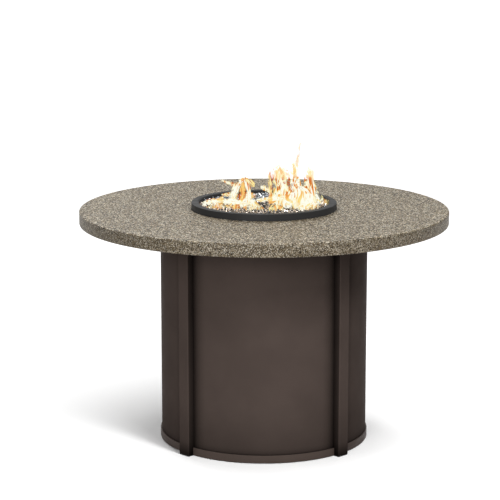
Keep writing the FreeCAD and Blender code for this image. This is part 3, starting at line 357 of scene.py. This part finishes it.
def brushed(name, colour, roughness, stretch, scale=160.0):
    """Metal with fine drawn or brushed lines along one direction."""
    look = Look(name)
    lines = look.noise(look.place(stretch), scale, detail=4.0, roughness=0.7)
    return look.principled(
        colour=look.varied(colour, look.place(), share=0.08, scale=30.0), metallic=1.0,
        roughness=look.spread(lines, roughness - 0.07, roughness + 0.09),
        normal=look.bump(lines, strength=0.15, distance=0.0001))


def galvanised():
    """Zinc with its faint crystal spangle."""
    look = Look("galvanised_spangle")
    where = look.place()
    spangle = look.cells(where, 110.0)
    tones = [(0.0, srgb(178, 181, 184)), (0.5, srgb(196, 198, 200)), (1.0, srgb(212, 214, 215))]
    return look.principled(
        colour=look.ramp(spangle, tones), metallic=1.0,
        roughness=look.span(spangle, 0.0, 1.0, 0.36, 0.52),
        normal=look.bump(look.noise(where, 300.0), strength=0.1, distance=0.0001))


def moulded(name, colour, roughness, grain=1400.0):
    """Moulded plastic, glaze or ferrite with a fine grain and faint handling marks."""
    look = Look(name)
    where = look.place()
    marks = look.noise(where, 120.0, detail=3.0)
    return look.principled(
        colour=look.varied(colour, where, share=0.08, scale=60.0),
        roughness=look.spread(marks, roughness - 0.06, roughness + 0.08),
        normal=look.bump(look.noise(where, grain, detail=1.0), strength=0.15, distance=0.0001))


def braided():
    """Heat-proof sleeve over a lead, with its fine braid."""
    look = Look("braided_sleeve")
    braid = look.node("TexWave", {
        "Vector": look.place(), "Scale": 260.0, "Distortion": 1.5, "Detail": 1.0,
    }, bands_direction="DIAGONAL").outputs["Fac"]
    colour = look.mix(braid, srgb(98, 30, 20), srgb(134, 48, 33))
    return look.principled(
        colour=colour, roughness=0.62, normal=look.bump(braid, strength=0.4, distance=0.0003))


# one for each material slot of a CAD node
FINISHES = {
    "granite": granite(),
    # the drum's bronze, with painted shade in hollows, in corners, near the floor and under the top
    "bronze_paint": powder_coat(
        "bronze_coat_painted_shade", srgb(83, 72, 67), (0.44, 0.54), 0.003, hollow_shade_level=0.2, corners=2.4),
    "ring_black": powder_coat(
        "charcoal_coat", srgb(46, 46, 46), (0.50, 0.62), 0.14, grain=700.0, strength=0.25),
    "stainless": brushed("brushed_stainless", srgb(196, 195, 192), 0.30, (1, 1, 0.04)),
    "galvanised": galvanised(),
    "brass": brushed("machined_brass", srgb(212, 174, 98), 0.27, (1, 0.05, 1)),
    "ceramic": moulded("glazed_ceramic", srgb(226, 222, 210), 0.24),
    "black_plastic": moulded("black_moulding", srgb(33, 33, 34), 0.46),
    "chrome": brushed("chrome_plate", srgb(222, 223, 225), 0.12, (0.1, 1, 1), scale=60.0),
    "ferrite": moulded("ferrite_grey", srgb(66, 63, 61), 0.62, grain=800.0),
    "aluminium": brushed("drawn_aluminium", srgb(208, 209, 210), 0.34, (1, 0.05, 0.05)),
    "lead_sleeve": braided(),
    "copper_lead": brushed("drawn_copper", srgb(206, 140, 104), 0.30, (0.3, 0.3, 0.3)),
}
# the band round the foot: glossier bronze, painted lighter as a painted highlight, and with less painted
# shade
BAND_HIGHLIGHT_FINISH = powder_coat(
    "bronze_band_painted_highlight", srgb(91, 79, 73), (0.36, 0.46), 0.05, hollow_shade_level=0.7, corners=0.2)
# nodes that pieces of the scene stand for
REPLACED = ("fire_glass", "flames")


def dress():
    """Give each CAD node the finish of its material slot, but for those that pieces of the scene replace."""
    for row in frame["record"]["subparts"]:
        if row["node"] in REPLACED:
            continue
        band = row["node"].startswith("base_band")
        materials = frame["nodes"][row["node"]].data.materials
        materials.clear()
        # the bands take the bronze with the painted highlight
        materials.append(BAND_HIGHLIGHT_FINISH if band else FINISHES[row["material_slot"]])


# Crushed glass

# the bed of glass: its radius, the height of its middle, and how much lower its rim is
GLASS_LOW, GLASS_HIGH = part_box("fire_glass")
BED_RADIUS = (GLASS_HIGH.x - GLASS_LOW.x) / 2
BED_CROWN = GLASS_HIGH.z
BED_RISE = 0.003
# points of its mesh above this height are its upper face, which sinks to make room for the chips
BED_FACE = BED_CROWN - BED_RISE - 0.001
BED_SINK = 0.008

# a chip's form, in its own width: how many forms and corners, how far out a corner stands, and how much
# flatter and narrower the chip is than long
CHIP_FORMS = 14
CHIP_CORNERS = 9
CHIP_REACH = (0.38, 0.5)
CHIP_FLAT = (0.45, 0.8)
CHIP_NARROW = (0.7, 1.0)
# the two layers, the upper first: spacing, depth under the crowned surface, least and most width
CHIP_LAYERS = [(0.0105, 0.0042, 0.0085, 0.0145), (0.0125, 0.0085, 0.010, 0.015)]
# rows lie this share of the spacing apart, a chip strays by up to this share of it, and in metres down or up
ROW_PITCH = 0.866
CHIP_STRAY = 0.35
CHIP_SETTLE = (-0.002, 0.0012)
# a chip keeps this share of its width from the rim, and stands no more than this over the crown
CHIP_MARGIN = 0.52
CHIP_PROUD = 0.0015

# painted firelight on the glass: its colour, how far behind the middle it ends, and how much a chip takes
PAINTED_FIRELIGHT = srgb(255, 228, 198)
FIRE_REACH = 0.06
FIRE_SHARE = (0.5, 1.0)


def chip_look(name, tones, grain, roughness, strength, painted_firelit=True, **others):
    """Glass chips, each of its own tone, with a fine relief, and warmer painted firelight beside the fire."""
    look = Look(name)
    colour = look.ramp(look.label("tone"), tones)
    # painted firelight: the colour is warmed near the fire
    if painted_firelit:
        colour = look.mix(look.label("painted_firelight"), colour, PAINTED_FIRELIGHT, "MULTIPLY")
    relief = look.noise(look.place(), grain)
    return look.principled(
        colour=colour, roughness=look.spread(relief, *roughness),
        normal=look.bump(relief, strength, distance=0.0008), **others)


def glass_silver():
    """Glass with a mirror coat on it."""
    tones = [(0.0, srgb(120, 124, 130)), (0.35, srgb(196, 200, 205)), (1.0, srgb(250, 251, 252))]
    return chip_look("glass_silver", tones, 260.0, (0.06, 0.2), 0.3, metallic=0.85)


def glass_clear():
    """Clear glass, faintly blue."""
    tones = [(0.0, srgb(150, 160, 168)), (1.0, srgb(238, 242, 244))]
    return chip_look("glass_clear", tones, 220.0, (0.03, 0.12), 0.25, transmission=0.7, ior=1.5)


def glass_black():
    """Black glass with a polished skin. It takes no painted firelight."""
    tones = [(0.0, srgb(16, 16, 18)), (1.0, srgb(84, 86, 92))]
    return chip_look("glass_black", tones, 220.0, (0.05, 0.16), 0.3, painted_firelit=False,
                     coat=0.4, coat_roughness=0.05)


def glass_under_painted_shade():
    """Bits below the chips, their colours painted dark as shade."""
    look = Look("glass_under_painted_shade")
    where = look.place()
    tones = [(0.0, srgb(22, 22, 24)), (0.35, srgb(70, 72, 76)), (0.7, srgb(140, 144, 150))]
    return look.principled(
        colour=look.ramp(look.cells(where, 110.0), tones, steps=True),
        roughness=look.spread(look.noise(where, 90.0), 0.12, 0.4),
        normal=look.bump(look.cells(where, 140.0), strength=0.6, distance=0.003))


# each kind of chip: its material, and the share of all chips at which the kind ends
CHIP_KINDS = {
    "glass_silver": (glass_silver(), 0.56),
    "glass_clear": (glass_clear(), 0.8),
    "glass_black": (glass_black(), 1.0),
}


def glass_bed():
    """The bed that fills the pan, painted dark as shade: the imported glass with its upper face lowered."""
    mesh = frame["nodes"]["fire_glass"].data.copy()
    mesh.name = "glass_bed"
    for vertex in mesh.vertices:
        if vertex.co.z > BED_FACE:
            vertex.co.z -= BED_SINK
    mesh.materials.clear()
    mesh.materials.append(glass_under_painted_shade())
    bed = added("glass_bed", mesh)
    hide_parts("fire_glass")
    return bed


def chip_forms():
    """Convex chips of about one unit across, as (corners, faces)."""
    forms = []
    for _ in range(CHIP_FORMS):
        mesh = bmesh.new()
        flat = RANDOM.uniform(*CHIP_FLAT)
        for _ in range(CHIP_CORNERS):
            way = Vector([RANDOM.gauss(0, 1) for _ in range(3)]).normalized() * RANDOM.uniform(*CHIP_REACH)
            mesh.verts.new((way.x, way.y * RANDOM.uniform(*CHIP_NARROW), way.z * flat))
        bmesh.ops.convex_hull(mesh, input=mesh.verts)
        inside = [vert for vert in mesh.verts if not vert.link_faces]
        bmesh.ops.delete(mesh, geom=inside, context="VERTS")
        mesh.verts.ensure_lookup_table()
        mesh.verts.index_update()
        corners = [vert.co.copy() for vert in mesh.verts]
        faces = [[vert.index for vert in face.verts] for face in mesh.faces]
        forms.append((corners, faces))
        mesh.free()
    return forms


def chip_places():
    """Where the chips lie, in staggered rows and each a little astray: x, y, width and depth."""
    for spacing, depth, least, most in CHIP_LAYERS:
        rows = int(BED_RADIUS / (spacing * ROW_PITCH)) + 1
        for row in range(-rows, rows + 1):
            for step in range(-rows, rows + 1):
                x = (step + 0.5 * (row % 2)) * spacing + RANDOM.uniform(-CHIP_STRAY, CHIP_STRAY) * spacing
                y = row * spacing * ROW_PITCH + RANDOM.uniform(-CHIP_STRAY, CHIP_STRAY) * spacing
                width = RANDOM.uniform(least, most)
                if math.hypot(x, y) <= BED_RADIUS - width * CHIP_MARGIN:
                    yield x, y, width, depth


def chip_points(corners, x, y, width, depth):
    """The corners of a form as a chip at this place, turned any way."""
    turn = Euler([RANDOM.uniform(0, math.tau) for _ in range(3)]).to_matrix()
    surface = BED_CROWN - BED_RISE * (math.hypot(x, y) / BED_RADIUS) ** 2
    place = Vector((x, y, surface - depth + RANDOM.uniform(*CHIP_SETTLE)))
    placed = [place + turn @ (corner * width) for corner in corners]
    over = max(point.z for point in placed) - (BED_CROWN + CHIP_PROUD)
    if over > 0:
        placed = [point - Vector((0, 0, over)) for point in placed]
    return placed


def crushed_glass():
    """Chips in two loose layers over their bed, one piece for each kind."""
    pieces = [glass_bed()]
    heaps = {name: ([], [], [], []) for name in CHIP_KINDS}
    forms = chip_forms()
    for x, y, width, depth in chip_places():
        corners, faces = RANDOM.choice(forms)
        placed = chip_points(corners, x, y, width, depth)
        pick = RANDOM.random()
        name = next(name for name, (_, end) in CHIP_KINDS.items() if pick < end)
        points, outlines, tones, painted_firelight = heaps[name]
        first = len(points)
        points.extend(placed)
        outlines.extend([[first + index for index in face] for face in faces])
        tones.extend([RANDOM.random()] * len(placed))
        # each chip's share of the painted firelight: full in front of the middle, none from FIRE_REACH behind
        # it
        near = min(max((FIRE_REACH - y) / FIRE_REACH, 0), 1)
        painted_firelight.extend([near * RANDOM.uniform(*FIRE_SHARE)] * len(placed))
    for name, (points, outlines, tones, painted_firelight) in heaps.items():
        chips = new_mesh(name, points, outlines, CHIP_KINDS[name][0])
        label_points(chips, "tone", tones)
        label_points(chips, "painted_firelight", painted_firelight)
        pieces.append(chips)
    for piece in pieces:
        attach(piece, "root")


# Flames

# name: distance in y from the middle in metres, warmth, cover, and from foot to tip the two edges of the
# sheet as they stand in the photograph, in its pixels
FLAMES = {
    "left_limb": (-0.020, 0.95, 1.0, [
        (227, 206, 237, 206), (228, 200, 238, 200), (229, 195, 239, 195), (231, 190, 240, 190),
        (233, 186, 241, 186), (236, 182, 244, 182), (239, 179.5, 247, 179.5), (243, 177, 248, 177.5)]),
    "right_limb": (-0.022, 0.95, 1.0, [
        (244, 207, 254, 207), (245, 200, 253, 200), (246, 195, 252, 195), (246, 190, 251.5, 190),
        (245, 186, 251, 186), (244, 182, 250, 182), (243, 179.5, 249, 179.5), (242, 177, 247, 177)]),
    "streak": (-0.012, 0.42, 0.95, [
        (239, 204, 247, 204), (239, 196, 246, 196), (239.5, 188, 246.5, 188), (241, 183, 248, 183),
        (243, 179, 250, 179)]),
    "hook": (-0.024, 0.62, 1.0, [
        (244, 177, 245, 182), (248, 177.5, 247, 183), (251.5, 179.5, 249, 184.5), (254, 182.5, 251, 186.5),
        (255.5, 185.5, 254, 187)]),
    "wisp_high": (-0.016, 0.8, 0.9, [
        (236, 187.5, 236, 182.5), (232, 186.5, 232, 182), (228, 184.5, 228, 181), (224, 182.5, 224.5, 180),
        (220.5, 180.5, 221, 179)]),
    "wisp_low": (-0.010, 0.75, 0.9, [
        (236, 198, 236, 190), (231, 197, 231, 191.5), (226, 196.5, 226, 193), (221, 195, 221, 193.5)]),
    "left_low": (-0.034, 0.95, 1.0, [
        (250, 209, 250, 198), (240, 208, 240, 198.5), (232, 206.5, 232, 198), (226, 205, 226, 198),
        (220, 204.5, 220, 198.5), (214, 204.5, 214, 199), (209, 205, 208.5, 199.5), (204.5, 206.5, 203, 202),
        (202, 206, 201.5, 204)]),
    "left_rim": (-0.030, 0.55, 0.8, [
        (224, 203, 224, 196), (217, 203, 217, 197.5), (210, 203.5, 210, 198.5), (205, 204.5, 204.5, 200.5)]),
    "left_foot": (-0.070, 0.9, 0.9, [
        (247, 210, 247, 203), (240, 209.5, 240, 204), (233, 209.5, 233, 205), (226, 209, 226, 205),
        (218, 207.5, 219, 204.5)]),
    "lick": (0.060, 0.85, 1.0, [
        (268, 201, 275, 201), (269, 196.5, 273, 196.5), (268.5, 192.5, 271.5, 191.5),
        (264.5, 191, 269, 187.5), (261.5, 189.5, 265.5, 185.5), (259.5, 186.5, 262, 185)]),
    "strand": (-0.006, 0.6, 0.9, [
        (267, 204, 275, 204), (268, 197, 274, 197), (268.5, 191, 273, 191), (268.5, 186, 272.5, 186),
        (268, 181, 272, 181), (268, 176, 271.5, 176), (268.5, 172, 271, 172)]),
    "near": (-0.014, 0.82, 1.0, [
        (262, 209, 298, 209), (269, 202, 297, 202), (272, 196, 296, 196), (273, 191, 294, 191),
        (272.5, 187, 293, 187), (272, 183, 292, 183), (270.5, 179, 291, 179), (269.5, 175, 290, 175),
        (270, 171, 288.5, 171), (272, 167.5, 284, 167), (275, 165, 280, 164.5)]),
    "middle": (0.004, 0.9, 1.0, [
        (284, 208, 314, 208), (286, 200, 311, 200), (288, 193, 306, 193), (288.5, 187, 302, 187),
        (289, 182, 300, 182), (290, 176, 299.5, 176), (290.5, 170, 299, 170), (291, 165, 298, 165),
        (292, 160.5, 296, 160)]),
    "spots": (0.012, 0.62, 0.6, [
        (294, 168, 300, 168), (295, 161, 300, 161), (296, 155, 300.5, 155), (297, 150, 301, 150),
        (298, 146, 301.5, 146), (299.5, 142, 302, 142)]),
    "right_lobe": (-0.012, 0.88, 1.0, [
        (294, 208, 327, 204), (298, 201, 324, 199), (302, 195, 320.5, 194), (303.5, 190, 318.5, 190),
        (303, 186, 317, 186), (303.5, 182, 315.5, 182), (304, 178, 314.5, 178), (304.5, 174, 314.5, 174),
        (305, 170, 314, 171), (306.5, 166.5, 310.5, 167)]),
    "white_heart": (-0.060, 1.0, 1.0, [
        (276, 211, 320, 209), (279, 206, 319, 205), (282, 200, 317, 199), (285, 195, 315, 194),
        (289, 190, 311, 189), (293, 186, 304, 186)]),
    "pale_band": (-0.030, 1.0, 0.95, [
        (256, 201, 256, 199), (262, 202, 262, 198), (270, 201.5, 270, 196.5), (278, 201, 278, 194.5),
        (288, 204, 288, 194)]),
    "pale_foot": (-0.060, 0.95, 0.95, [
        (247, 199, 255, 199), (248.5, 203, 256.5, 202), (251, 207, 259, 205), (254.5, 210.5, 261, 208.5)]),
    "amber_front": (-0.104, 0.66, 1.0, [
        (264, 213, 290, 213), (266, 210, 288.5, 210), (268, 207, 285.5, 207), (271, 204.5, 281, 204.5)]),
    "amber_left": (-0.090, 0.5, 0.7, [
        (228, 213, 242, 213), (230, 210, 241.5, 210), (231, 207, 240, 206.5), (233, 204.5, 238, 204)]),
    "amber_edge": (-0.080, 0.45, 0.6, [
        (208, 210, 224, 211), (210, 208, 223, 208.5), (212, 206, 221, 206), (214, 204.5, 218, 204.5)]),
    "veil_front": (-0.100, 0.8, 0.75, [
        (236, 214, 270, 214), (238, 211, 269, 211), (241, 208, 266, 208), (246, 205, 261, 205)]),
    "veil_left": (-0.070, 0.75, 0.5, [
        (203, 210, 232, 212), (205, 207, 231, 208.5), (208, 204.5, 229, 205.5), (212, 202.5, 224, 202.5)]),
    "right_front": (-0.088, 0.95, 1.0, [
        (286, 212, 316, 210), (290, 209, 316, 207), (296, 206, 318, 204), (303, 203.5, 320, 202)]),
    "end_low": (0.020, 0.6, 0.4, [
        (317, 206.5, 332, 205), (319.5, 204, 331, 202.5), (322, 201.5, 329, 200.5),
        (324.5, 199, 327.5, 198.5)]),
    "back_low": (0.060, 0.7, 0.8, [
        (240, 198, 258, 198), (242, 195, 257, 195), (244, 193, 254, 193), (246, 191.5, 251, 191.5)]),
}
# turn of each of a flame's sheets about its middle line, in degrees, and its share of the width
FLAME_SHEETS = [(0, 1.0), (62, 0.9), (-62, 0.9)]
# steps from one row of pixels to the next, and across a sheet
FLAME_STEPS = 6
FLAME_COLUMNS = 14
# a sheet's middle stands forward by this share of half its width
FLAME_CURL = 0.35
# its points waver: waves to the metre sideways and upward, how much less they move upward, and how far
# they move, as a share of half the width and at most
FLAME_WAVES = 22
FLAME_WAVES_UP = 16
FLAME_WAVER_UP = 0.4
FLAME_WAVER = 0.25
FLAME_WAVER_MOST = 0.006
# no point is higher than this
FLAME_CEILING = CAD_BOX[1][2] - 0.001
# what the points of a sheet hold: share of the way to the tip, place from -1 to 1 across, the shift of its
# pattern against the other sheets', and its flame's warmth and cover
FLAME_LABELS = ("along", "across", "shift", "warmth", "cover")
FLAME_SHIFT = 1.37

# the gas's patterns: stretch upward, patches to the metre, detail and distortion
BROAD_PATTERN = (0.6, 26.0, 2.0, 0.8)
FOLD_PATTERN = (0.34, 36.0, 1.5, 2.2)
TEAR_PATTERN = (0.6, 52.0, 2.0, 2.0)
# heights between which the fire comes clear of the glass, its folds deepen, it thins, and it breaks up
FIRE_CLEARS = (0.797, 0.815)
FIRE_DEEPENS = (0.80, 0.85)
FIRE_THINS = (0.866, 0.890)
FIRE_BREAKS = (0.905, 0.925)
# its colours, from no warmth to full
FIRE_TONES = [
    (0.0, srgb(188, 88, 34)), (0.18, srgb(226, 130, 56)), (0.36, srgb(245, 172, 88)),
    (0.54, srgb(251, 210, 124)), (0.70, srgb(251, 234, 158)), (0.84, srgb(254, 247, 202)),
    (1.0, srgb(255, 255, 238)),
]


def flame_look():
    """Burning gas: white and pale yellow inside, orange folds and rims, torn edges. It casts no shadow."""
    look = Look("flame")
    along, across, shift, flame_warmth, flame_cover = [look.label(name) for name in FLAME_LABELS]
    offset = look.node("CombineXYZ", {"X": shift, "Y": shift, "Z": shift}).outputs[0]

    def pattern(stretch, scale, detail, distortion):
        moved = look.node("VectorMath", {0: look.place((1, 1, stretch)), 1: offset}, operation="ADD")
        return look.noise(moved.outputs[0], scale, detail, distortion=distortion)

    height = look.upward(look.place())
    rise = look.span(height, *FIRE_THINS)
    edge = look.math("ABSOLUTE", across)
    broad = pattern(*BROAD_PATTERN)
    folds = pattern(*FOLD_PATTERN)
    tears = pattern(*TEAR_PATTERN)

    # ragged sides, a torn tip, a soft foot, and holes near the sides, over the glass and high up
    ragged = look.math("ADD", edge, look.span(broad, 0.25, 0.75, -0.34, 0.30))
    body = look.span(ragged, 0.82, 1.0, 1.0, 0.0)
    tip = look.span(look.math("ADD", along, look.spread(tears, -0.2, 0.2)), 0.78, 1.0, 1.0, 0.0)
    foot = look.span(along, 0.0, 0.08)
    low = look.span(height, *FIRE_CLEARS, 0.5, 0.0)
    high = look.span(height, *FIRE_BREAKS)
    torn = look.math("MAXIMUM", look.math("MAXIMUM", look.span(edge, 0.1, 0.6, 0.1, 0.7), low), high)
    whole = look.math("SUBTRACT", 1.0, look.product(look.span(tears, 0.50, 0.57), torn))
    thin = look.span(rise, 0.0, 1.0, 1.0, 0.62)
    cover = look.product(body, tip, foot, flame_cover, whole, thin)

    # cooler in the folds, at the sides and high up
    depth = look.math("SUBTRACT", look.span(height, *FIRE_DEEPENS, 0.5, 0.86), look.product(rise, 0.55))
    warmth = look.math("ADD", flame_warmth, look.spread(broad, 0.02, 0.3))
    warmth = look.math("SUBTRACT", warmth, look.product(look.span(folds, 0.50, 0.60), depth))
    warmth = look.math("SUBTRACT", warmth, look.span(ragged, 0.55, 0.95, 0.0, 0.34))
    warmth = look.math("SUBTRACT", warmth, look.product(rise, 0.24), clamp=True)

    glow = look.node("Emission", {"Color": look.ramp(warmth, FIRE_TONES), "Strength": 1.0}).outputs[0]
    clear = look.node("BsdfTransparent").outputs[0]
    look.material.cycles.emission_sampling = "NONE"
    return look.finish(look.blend(look.product(cover, look.seen()), clear, glow))


def from_photograph(u, v, y):
    """The place that the photograph shows at this pixel, in the upright plane at this y."""
    pixel = SENSOR / CAMERA_LENS / PHOTO_SIZE
    turn = Euler(CAMERA_TURN).to_matrix()
    way = turn @ Vector(((u - PHOTO_SIZE / 2) * pixel, (PHOTO_SIZE / 2 - v) * pixel, -1))
    start = Vector(CAMERA_PLACE)
    return start + way * ((y - start.y) / way.y)


def eased(rows, steps):
    """Rows of numbers with more rows between them on a smooth curve, each with its place from 0 to 1."""
    last = len(rows) - 1
    made = []
    for index in range(last * steps + 1):
        here = min(index // steps, last - 1)
        share = index / steps - here
        before, first, second, after = [rows[min(max(here + move, 0), last)] for move in (-1, 0, 1, 2)]
        made.append((index / (last * steps), [
            0.5 * (2 * b + (c - a) * share + (2 * a - 5 * b + 4 * c - d) * share ** 2
                   + (3 * b - a - 3 * c + d) * share ** 3)
            for a, b, c, d in zip(before, first, second, after)]))
    return made


def sheet_point(left, right, across, turn, share, number):
    """A place across a sheet, which is turned about the middle line, curled forward and wavering."""
    side = (right - left) / 2 * share
    half = side.length
    point = (left + right) / 2 + side * across * math.cos(turn)
    point.y += half * (across * math.sin(turn) - FLAME_CURL * (1 - across ** 2) * math.cos(turn))
    waver = noise.noise_vector(Vector((
        point.x * FLAME_WAVES + number, point.y * FLAME_WAVES, point.z * FLAME_WAVES_UP)))
    waver.z *= FLAME_WAVER_UP
    point += waver * min(half * FLAME_WAVER, FLAME_WAVER_MOST)
    point.z = min(point.z, FLAME_CEILING)
    return point


def grid_faces(first, rows, columns):
    """The faces of a grid of points, which are numbered row by row from the first."""
    return [[start, start + 1, start + columns + 1, start + columns]
            for row in range(rows - 1)
            for start in range(first + row * columns, first + (row + 1) * columns - 1)]


def flames():
    """The fire as it stood in the photograph: crossed, curling sheets round the middle line of each flame."""
    points, faces = [], []
    labels = {name: [] for name in FLAME_LABELS}
    sheets = [(flame, sheet) for flame in FLAMES.values() for sheet in FLAME_SHEETS]
    for number, ((y, warmth, cover, rows), (degrees, share)) in enumerate(sheets, 1):
        first = len(points)
        outline = eased(rows, FLAME_STEPS)
        for along, (u_left, v_left, u_right, v_right) in outline:
            left = from_photograph(u_left, v_left, y)
            right = from_photograph(u_right, v_right, y)
            for column in range(FLAME_COLUMNS + 1):
                across = 2 * column / FLAME_COLUMNS - 1
                points.append(sheet_point(left, right, across, math.radians(degrees), share, number))
                values = (along, across, number * FLAME_SHIFT, warmth, cover)
                for name, value in zip(FLAME_LABELS, values):
                    labels[name].append(value)
        faces.extend(grid_faces(first, len(outline), FLAME_COLUMNS + 1))
    fire = new_mesh("flame_sheets", points, faces, flame_look())
    for name, values in labels.items():
        label_points(fire, name, values)
    for face in fire.data.polygons:
        face.use_smooth = True
    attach(fire, "root")
    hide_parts("flames")


# Studio

def floor():
    """White floor: the lamps' shadow and a painted shadow beside the table, plain white further off."""
    look = Look("studio_floor")
    where = look.place()
    lit = look.node("BsdfDiffuse", {"Color": look.ramp(look.noise(where, 3.0), FLOOR_TONES)}).outputs[0]
    # painted shadow: the lift to white is less where things nearby shelter the floor
    openness = look.openness(FLOOR_REACH, FLOOR_RAYS)
    near = look.math("MULTIPLY", look.math("SUBTRACT", openness, FLOOR_SHADE), FLOOR_RISE, clamp=True)
    distance = look.node("VectorMath", {0: where}, operation="LENGTH").outputs["Value"]
    level = look.math("MAXIMUM", near, look.span(distance, *FLOOR_WHITE))
    lift = look.node("Emission", {"Color": WHITE, "Strength": level}).outputs[0]
    shown = look.node("AddShader", {0: lit, 1: lift}).outputs[0]
    bounce = look.node("BsdfDiffuse", {"Color": FLOOR_BOUNCE}).outputs[0]
    look.material.cycles.emission_sampling = "NONE"
    material = look.finish(look.blend(look.seen(), bounce, shown))
    corners = [(x * FLOOR_HALF, y * FLOOR_HALF, 0) for x, y in ((-1, -1), (1, -1), (1, 1), (-1, 1))]
    plane = new_mesh("studio_floor", corners, [[0, 1, 2, 3]], material)
    return plane


def world():
    """White to look at, and a softer even light on the object."""
    made = bpy.data.worlds.new("studio")
    made.use_nodes = True
    sky = Nodes(made.node_tree)
    light, shown = [sky.node("Background", {"Color": WHITE, "Strength": level}).outputs[0]
                    for level in (AMBIENT, 1.0)]
    sky.node("OutputWorld", {"Surface": sky.blend(sky.seen(), light, shown)})
    bpy.context.scene.world = made


def softbox(name, place, width, watts):
    """A square lamp that faces the table."""
    data = bpy.data.lights.new(name, "AREA")
    data.size = width
    data.energy = watts
    lamp = added(name, data)
    lamp.location = place
    lamp.rotation_euler = (Vector(LAMP_TARGET) - Vector(place)).to_track_quat("-Z", "Y").to_euler()
    return lamp


def lamps(ground):
    """The lamps on the table and its floor, and the one that lights the floor alone."""
    for row in LAMPS:
        softbox(*row)
    lit = bpy.data.collections.new("floor_lamp_lights")
    lit.objects.link(ground)
    softbox(*FLOOR_LAMP).light_linking.receiver_collection = lit


def camera():
    """The camera, where the photograph's stood."""
    data = bpy.data.cameras.new("camera")
    data.lens = CAMERA_LENS
    data.sensor_width = SENSOR
    data.clip_end = CAMERA_SIGHT
    made = added("camera", data)
    made.location = CAMERA_PLACE
    made.rotation_euler = CAMERA_TURN
    bpy.context.scene.camera = made


dress()
crushed_glass()
flames()
world()
lamps(floor())
camera()
bpy.context.scene.view_settings.view_transform = "Standard"
